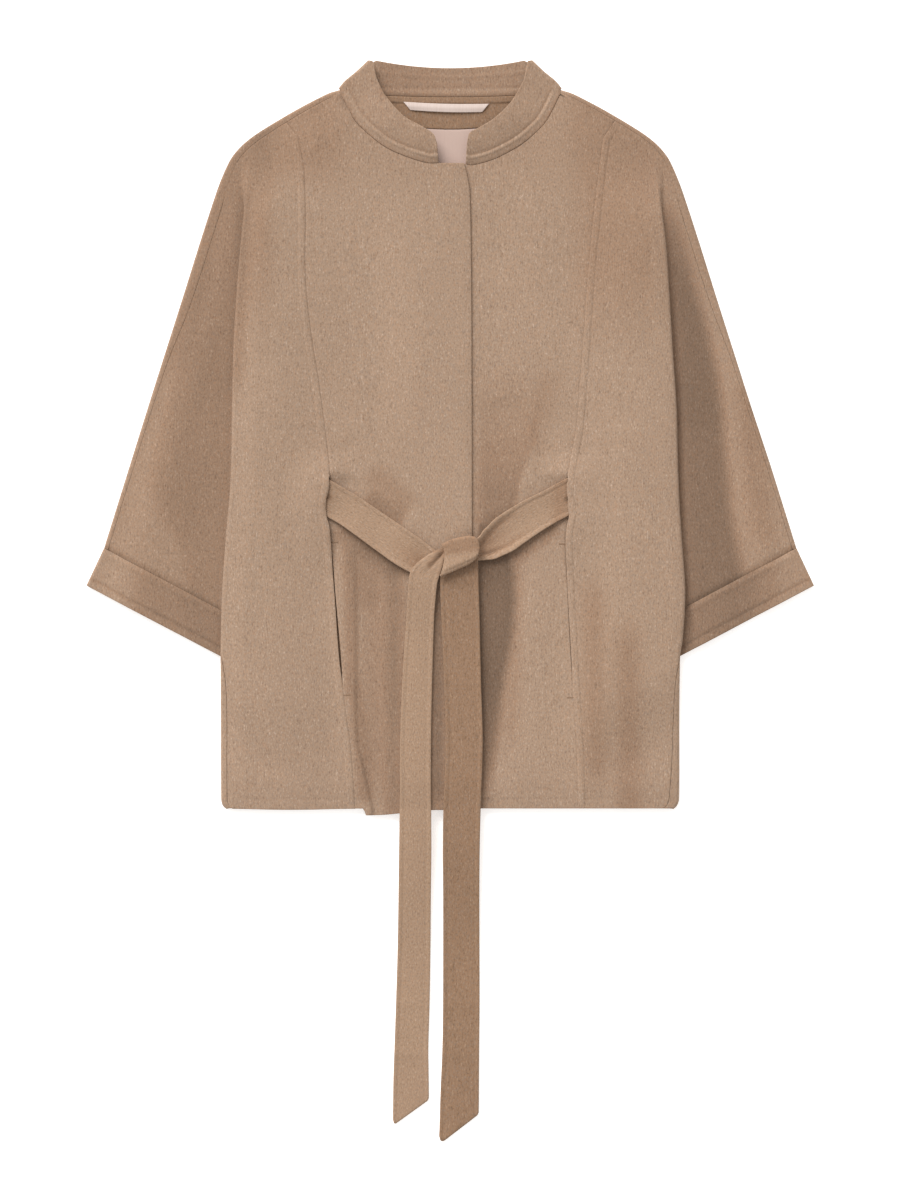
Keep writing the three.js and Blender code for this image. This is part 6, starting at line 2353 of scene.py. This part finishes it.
@dataclass
class Tail:
    """A hanging end of the belt: rows of its left and right edges, from the knot to its slanted end."""

    room: Workroom
    node: str
    finish: Finish
    rows: tuple[Quad, ...]  # x and y of the left edge, x and y of the right one
    root: float = 0.0  # how far it is lifted where it leaves the knot
    roll: float = 0.0  # height of its upper edge's roll, beside the knot
    corners: tuple[Pair, ...] = ((4.5, 6.5), (3.0, 2.0))  # reach and height of the rounding
    bands: tuple[Pair, ...] = ()  # soft creases across it: height and rise
    knot_crease: Fold = Fold(-8.5, 254.5, -22.5, 242, 2.2, 0.5)
    root_start: Ramp = Ramp(168, 64)
    rest_height: float = 0.4  # of its underside over the table, past the hem
    descent: Ramp = Ramp(-4, -150)  # from the coat down to the table
    seam_line: Hump = Hump(4.6, 1.0, 0.25)  # by the distance from an edge
    roll_rows: Triple = (0.6, 3.5, 2.5)  # where the roll starts and ends, and its fall
    roll_ridge: Hump = Hump(0.25, 0.2)  # by the share of the width
    roll_hollow: Hump = Hump(0.54, 0.1, 0.6)
    band_width: float = 5.0
    ripple: Pair = (0.25, 19.0)  # height and length over two pi
    ripple_span: Pair = (60.0, 150.0)  # how far under the hem its middle is, and its reach
    tip: Quad = (10.5, 257.0, 5.5, 0.45)  # its shade at the knot

    def rounding(self, share: Array, width: float) -> Array:
        """How much higher the end is near its corners.

        Args:
            share: shares of the way across.
            width: the tail's width there.

        Returns:
            How far, at each place.
        """
        lift = np.zeros_like(share)
        for off, (reach, height) in zip((share * width, (1 - share) * width), self.corners):
            bent = np.clip(1 - off / reach, 0, 1)
            lift = lift + height * (1 - np.sqrt(1 - bent**2))
        return lift

    def build(self) -> bpy.types.Object:
        """Makes the tail and dresses it.

        Returns:
            The dressed piece.
        """
        form = self.room.form
        rows = refine(np.array(self.rows), 12)
        rank = (np.arange(len(rows)) / 12)[:, None]
        share = ((BELT_ACROSS + 1) / 2)[None, :]
        x = mix(rows[:, 0:1], rows[:, 2:3], share)
        y = mix(rows[:, 1:2], rows[:, 3:4], share)
        width = np.hypot(rows[:, 2] - rows[:, 0], rows[:, 3] - rows[:, 1])[:, None]
        y = y + self.rounding(share, width[-1, 0]) * ease(1 - (y - y[-1:]) / 16)
        on = form.cover_height(np.minimum(x, 20), np.maximum(y, 0)) + form.on_panel + EDGE_GAP
        lifted = on + self.root * self.root_start.at(y)
        z = mix(lifted, form.belt_cloth / 2 + self.rest_height, self.descent.at(y))
        from_edge = np.minimum(share, 1 - share) * width
        z = z - self.seam_line.at(from_edge) + EDGE_BEAD.at(from_edge)
        start, end, fall = self.roll_rows
        rolled = self.roll * ease(rank - start) * (1 - ease((rank - end) / fall))
        z = z + rolled * (self.roll_ridge.at(share) - self.roll_hollow.at(share))
        for height, rise in self.bands:
            z = z + rise * bell(y - height, self.band_width) * (0.7 + 0.3 * np.cos(3 * share))
        (rise, length), (middle, reach) = self.ripple, self.ripple_span
        z = z + rise * (1 + np.sin(y / length + 2 * share)) * ease((reach - np.abs(y + middle)) / reach)
        chart = np.dstack([share * width / MM, y / MM])
        # Painted shade where this tail leaves the knot: along its crease and at its tip.
        left, height, spread, most = self.tip
        tip = most * bell(np.hypot(x + left, y - height), spread)
        painted_shade = (self.knot_crease.height(x, y) + tip) * (self.roll > 0)
        grid = np.dstack([x, y, z])
        piece = self.room.shell(
            f"wool_{self.node}", [grid], form.belt_cloth, chart, BELT_ROUNDING, painted_shade=painted_shade
        )
        length = (self.rows[0][1] - self.rows[-1][1]) / MM
        cut = Cut(0.038, length + 0.03, "laid", ("wool_front_right",))
        return self.room.dress(piece, self.node, "belt_wool", self.finish, cut)


# ---- Stitches --------------------------------------------------------------------------------------------
class StitchTree:
    """The node tree that sets a row of thread stitches along a line."""

    SIZES = (("Spacing", 0.004), ("Length", 0.0012), ("Thickness", 0.0004))

    def __init__(self, material: bpy.types.Material) -> None:
        """Builds the tree.

        Args:
            material: the thread's.
        """
        tree = bpy.data.node_groups.new("thread_stitches", "GeometryNodeTree")
        tree.interface.new_socket("Geometry", in_out="INPUT", socket_type="NodeSocketGeometry")
        for name, value in self.SIZES:
            socket = tree.interface.new_socket(name, in_out="INPUT", socket_type="NodeSocketFloat")
            socket.default_value = value
        tree.interface.new_socket("Seed", in_out="INPUT", socket_type="NodeSocketInt")
        tree.interface.new_socket("Geometry", in_out="OUTPUT", socket_type="NodeSocketGeometry")
        given = add_node(tree, "NodeGroupInput").outputs
        line = add_node(tree, "GeometryNodeMeshToCurve", links={"Mesh": given["Geometry"]})
        points = add_node(
            tree, "GeometryNodeResampleCurve", links={"Curve": line.outputs[0], "Length": given["Spacing"]},
            mode="LENGTH",
        )
        size = add_node(
            tree, "ShaderNodeCombineXYZ",
            links={0: given["Length"], 1: given["Thickness"], 2: given["Thickness"]},
        )
        bead = add_node(tree, "GeometryNodeMeshIcoSphere", values={"Radius": 0.5, "Subdivisions": 1})
        thread = add_node(
            tree, "GeometryNodeTransform", links={"Geometry": bead.outputs[0], "Scale": size.outputs[0]}
        )
        tangent = add_node(tree, "GeometryNodeInputTangent")
        turn = add_node(
            tree, "FunctionNodeAlignRotationToVector", links={"Vector": tangent.outputs[0]}, axis="X"
        )
        vary = add_node(
            tree, "FunctionNodeRandomValue", links={"Seed": given["Seed"]}, data_type="FLOAT_VECTOR",
            values={0: (0.8, 0.85, 0.85), 1: (1.2, 1.15, 1.15)},
        )
        row = add_node(
            tree, "GeometryNodeInstanceOnPoints",
            links={
                "Points": points.outputs[0], "Instance": thread.outputs[0], "Rotation": turn.outputs[0],
                "Scale": vary.outputs[0],
            },
        )
        real = add_node(tree, "GeometryNodeRealizeInstances", links={0: row.outputs[0]})
        dressed = add_node(
            tree, "GeometryNodeSetMaterial", values={"Material": material},
            links={"Geometry": real.outputs[0]},
        )
        add_node(tree, "NodeGroupOutput", links={0: dressed.outputs[0]})
        self.tree = tree

    def sew(self, name: str, lines: Sequence[Array], sizes: dict[str, float]) -> bpy.types.Object:
        """Sews stitches along lines.

        Args:
            name: the new object's name.
            lines: each line's points in the row frame, in metres.
            sizes: values for the tree's named inputs.

        Returns:
            A plain mesh of all the stitches.
        """
        verts = np.concatenate(lines)
        edges, start = [], 0
        for line in lines:
            edges += [(start + k, start + k + 1) for k in range(len(line) - 1)]
            start += len(line)
        path = bpy.data.meshes.new(f"{name}_path")
        path.from_pydata(verts.tolist(), edges, [])
        carrier = bpy.data.objects.new(f"{name}_path", path)
        bpy.context.scene.collection.objects.link(carrier)
        modifier = carrier.modifiers.new("stitches", "NODES")
        modifier.node_group = self.tree
        for item in self.tree.interface.items_tree:
            if item.in_out == "INPUT" and item.name in sizes:
                modifier[item.identifier] = sizes[item.name]
        graph = bpy.context.evaluated_depsgraph_get()
        mesh = bpy.data.meshes.new_from_object(carrier.evaluated_get(graph))
        carrier.modifiers.remove(modifier)
        bpy.data.objects.remove(carrier)
        mesh.shade_smooth()
        piece = bpy.data.objects.new(name, mesh)
        bpy.context.scene.collection.objects.link(piece)
        return piece


@dataclass
class Stitching:
    """The hand sewing that shows: bar tacks at the pockets' ends."""

    room: Workroom
    tack_length: float = 5.5
    tack_depth: float = 0.9
    tack_gap: float = 0.8  # from the seam
    over: float = 0.05  # how far the threads' middle stands off the cloth
    spacing: float = 0.0009  # of a tack's stitches, in metres as the two sizes after it
    length: float = 0.0013
    thickness: float = 0.0005
    ends: tuple[tuple[int, Pair], ...] = ((-1, (266.0, 113.5)), (1, (264.5, 111.0)))

    def tack(self, side: int, y: float) -> list[Array]:
        """The threads of one bar tack beside the princess seam, toward the coat's centre.

        Args:
            side: -1 for the wearer's right side, 1 for the left.
            y: height above the hem.

        Returns:
            Each thread's points, in metres.
        """
        form = self.room.form
        seam = float(PRINCESS_SEAM.beside(side, y)) - self.tack_gap
        lines = []
        for off in np.linspace(-self.tack_depth / 2, self.tack_depth / 2, 4):
            half = np.linspace(seam, seam - self.tack_length, 10)
            x = side * half
            z = self.surface(x, np.full(10, y + off)) + form.cloth / 2 + self.over
            lines.append(self.room.placement.place(np.column_stack([x, np.full(10, y + off), z])))
        return lines

    def surface(self, x: Array, y: Array) -> Array:
        """Height of the middle of the cloth on top at the fronts."""
        form = self.room.form
        return np.where(x < 0, form.over_height(x, y), form.front_height(x, y))

    def build(self) -> None:
        """Sews the tacks and dresses them."""
        tree = StitchTree(self.room.material(Finish.THREAD))
        tacks = [line for side, heights in self.ends for y in heights for line in self.tack(side, y)]
        sizes = {"Spacing": self.spacing, "Length": self.length, "Thickness": self.thickness, "Seed": SEED}
        self.room.dress(tree.sew("pocket_bar_tacks", tacks, sizes), "", "wool", Finish.THREAD)


# ---- The studio ------------------------------------------------------------------------------------------
@dataclass
class Studio:
    """A pale floor, soft light from all round and above, and a camera straight over the coat."""

    lens: float = 96.0
    distance: float = 3.2
    middle: Triple = (-0.0002, -0.0006, 0.008)  # of what the camera looks at
    floor_size: float = 8.0
    floor_gap: float = 0.0004
    key_from: Pair = (-0.5, 0.87)
    key_elevation: float = 33.0
    key_strength: float = 3.3
    key_spread: float = 40.0
    world: float = 0.66
    table_glow: float = 0.5

    def floor(self) -> None:
        """Lays the pale floor: a sheet of opal acrylic, lit a little from below, so that it stays white."""
        bpy.ops.mesh.primitive_plane_add(size=self.floor_size, location=(0, 0, -self.floor_gap))
        floor = bpy.context.object
        floor.name = "opal_floor"
        sheet = bpy.data.materials.new("opal_acrylic_light_table")
        sheet.use_nodes = True
        shader = sheet.node_tree.nodes["Principled BSDF"]
        shader.inputs["Base Color"].default_value = linear("#fbfbfa")
        shader.inputs["Roughness"].default_value = 0.8
        shader.inputs["Emission Color"].default_value = linear("#ffffff")
        shader.inputs["Emission Strength"].default_value = self.table_glow
        floor.data.materials.append(sheet)

    def light(self, name: str, toward: Pair, elevation: float, strength: float) -> None:
        """Adds a soft, even light.

        Args:
            name: the light's name.
            toward: which way it is from the coat, in x and y.
            elevation: its height over the floor in degrees.
            strength: how much light it gives.
        """
        data = bpy.data.lights.new(name, "SUN")
        data.angle = math.radians(self.key_spread)
        data.energy = strength
        lamp = bpy.data.objects.new(name, data)
        bpy.context.scene.collection.objects.link(lamp)
        lamp.rotation_euler = (math.radians(90 - elevation), 0, math.atan2(toward[0], -toward[1]))

    def camera(self) -> None:
        """Hangs the camera over the middle of the frame."""
        data = bpy.data.cameras.new("over_the_coat")
        data.lens = self.lens
        camera = bpy.data.objects.new("over_the_coat", data)
        bpy.context.scene.collection.objects.link(camera)
        across, along, height = self.middle
        camera.location = (across, along, self.distance + height)
        bpy.context.scene.camera = camera

    def build(self) -> None:
        """Sets up the floor, the lights and the camera."""
        self.camera()
        self.floor()
        self.light("key_from_the_upper_left", self.key_from, self.key_elevation, self.key_strength)
        sky = bpy.data.worlds.new("soft_studio")
        sky.use_nodes = True
        back = sky.node_tree.nodes["Background"]
        back.inputs["Color"].default_value = linear("#fdfcfa")
        back.inputs["Strength"].default_value = self.world
        bpy.context.scene.world = sky
        bpy.context.scene.view_settings.view_transform = "Standard"


# The belt's tails, from the knot down: x and y of the left edge, x and y of the right one.
TAIL_RIGHT = (
    (-3.5, 262.0, -2.0, 252.0), (-9.5, 259.4, -6.2, 249.4), (-18.2, 255.4, -7.6, 243.6),
    (-25.0, 251.2, -8.9, 239.0), (-31.5, 246.4, -10.2, 234.8), (-37.4, 240.4, -11.6, 230.4),
    (-40.4, 233.8, -12.9, 226.0), (-41.5, 226.0, -13.8, 220.5), (-42.0, 217.0, -14.5, 213.0),
    (-42.8, 206.0, -15.2, 204.0), (-43.8, 188.0, -16.3, 187.5), (-47.5, 130.0, -18.0, 130.0),
    (-49.8, 68.0, -19.2, 68.0), (-49.9, 20.0, -19.3, 20.0), (-50.3, -4.0, -19.1, -4.0),
    (-51.0, -41.5, -18.9, -41.5), (-51.7, -91.5, -19.5, -91.5), (-52.6, -141.5, -19.9, -141.5),
    (-54.1, -191.5, -20.7, -191.5), (-55.8, -241.5, -22.0, -238.5), (-56.9, -274.0, -21.8, -262.0),
    (-57.5, -318.4, -21.4, -292.4),
)
TAIL_LEFT = (
    (-10.8, 238.0, 27.2, 252.0), (-10.4, 230.0, 27.8, 243.0), (-9.9, 218.0, 28.2, 226.0),
    (-8.6, 188.0, 29.3, 190.0), (-6.2, 130.0, 30.6, 130.0), (-4.4, 68.0, 32.4, 68.0),
    (-5.8, 20.0, 31.0, 20.0), (-6.8, -4.0, 30.2, -4.0), (-7.3, -41.5, 29.4, -41.5),
    (-7.0, -91.5, 29.1, -91.5), (-7.1, -191.5, 29.3, -191.5), (-7.8, -241.5, 28.9, -239.5),
    (-9.6, -284.0, 28.7, -270.0), (-11.2, -337.4, 28.6, -306.8),
)
# The belt's straps, from the side to the knot: x and y of the middle, width, and how far the edges roll.
STRAP_RIGHT = (
    (-142, 322, 34, 0), (-134, 317.3, 34, 0), (-126, 312.4, 33.6, 0), (-116, 306.7, 33.4, 0),
    (-100.2, 297.4, 33.2, 0), (-80.2, 283.4, 33.8, 0.2), (-60.2, 269.4, 34.8, 0.6), (-45.2, 259.0, 35.2, 0.9),
    (-30, 249.4, 32.5, 1.1), (-17.5, 243.5, 27, 1.1),
)
STRAP_LEFT = (
    (142, 324, 34, 0), (133, 319.4, 34, 0), (122, 313.7, 34, 0), (111.8, 308.3, 34, 0),
    (99.8, 302, 33.8, 0.3), (79.8, 291, 35.6, 0.8), (60.2, 278.2, 36.8, 1.6), (52.6, 272.4, 36.2, 2.2),
    (45.4, 267.4, 33, 2.8), (38.7, 262.6, 29.2, 2.8), (32.3, 259.7, 24.2, 2.2), (27, 257.8, 20.4, 1.2),
    (22.5, 256.6, 17, 0.4),
)
# The soft creases across the hanging tails: how high each lies and how far it stands up.
TAIL_CREASES = ((-196, 0.6), (-246, 0.7))
# Painted shade on each cuff, at its inner end, its middle and its outer end.
CUFF_SHADE = {-1: (0.46, 0.34, 0.07), 1: (0.48, 0.62, 0.12)}


def main() -> None:
    """Builds the coat in the order in which it is put together, and then the studio."""
    logging.basicConfig(level=logging.INFO, format="%(message)s", stream=sys.stdout)
    form = CoatForm()
    room = Workroom(form, Placement.from_lining())
    Studio().build()
    Back(room).build()
    for side, name in ((-1, "right"), (1, "left")):
        SideFront(room, side, f"side_front_{name}").build()
        CentreFront(room, side, f"front_{name}").build()
        Cuff(room, side, f"cuff_{name}", CUFF_SHADE[side]).build()
        PocketFacing(room, side, f"pocket_facing_{name}").build()
    Collar(room).build()
    NeckInside(room).build()
    BeltBack(room).build()
    Strap(room, -1, "belt_strap_right", STRAP_RIGHT, hang=3.2).build()
    Strap(room, 1, "belt_strap_left", STRAP_LEFT, hang=1.2, notch=(116.5, 309.5), shade=0.26).build()
    Knot(room).build()
    Tail(
        room, "belt_tail_right", Finish.BELT_WOOL, TAIL_RIGHT, root=2.9, roll=1.3, bands=TAIL_CREASES
    ).build()
    # The left tail takes the darker, redder wool.
    Tail(
        room, "belt_tail_left", Finish.WOOL_SHADED_AND_AGAINST_NAP, TAIL_LEFT, corners=((8, 9), (3, 2)), bands=TAIL_CREASES
    ).build()
    Stitching(room).build()


if __name__ == "__main__":
    main()
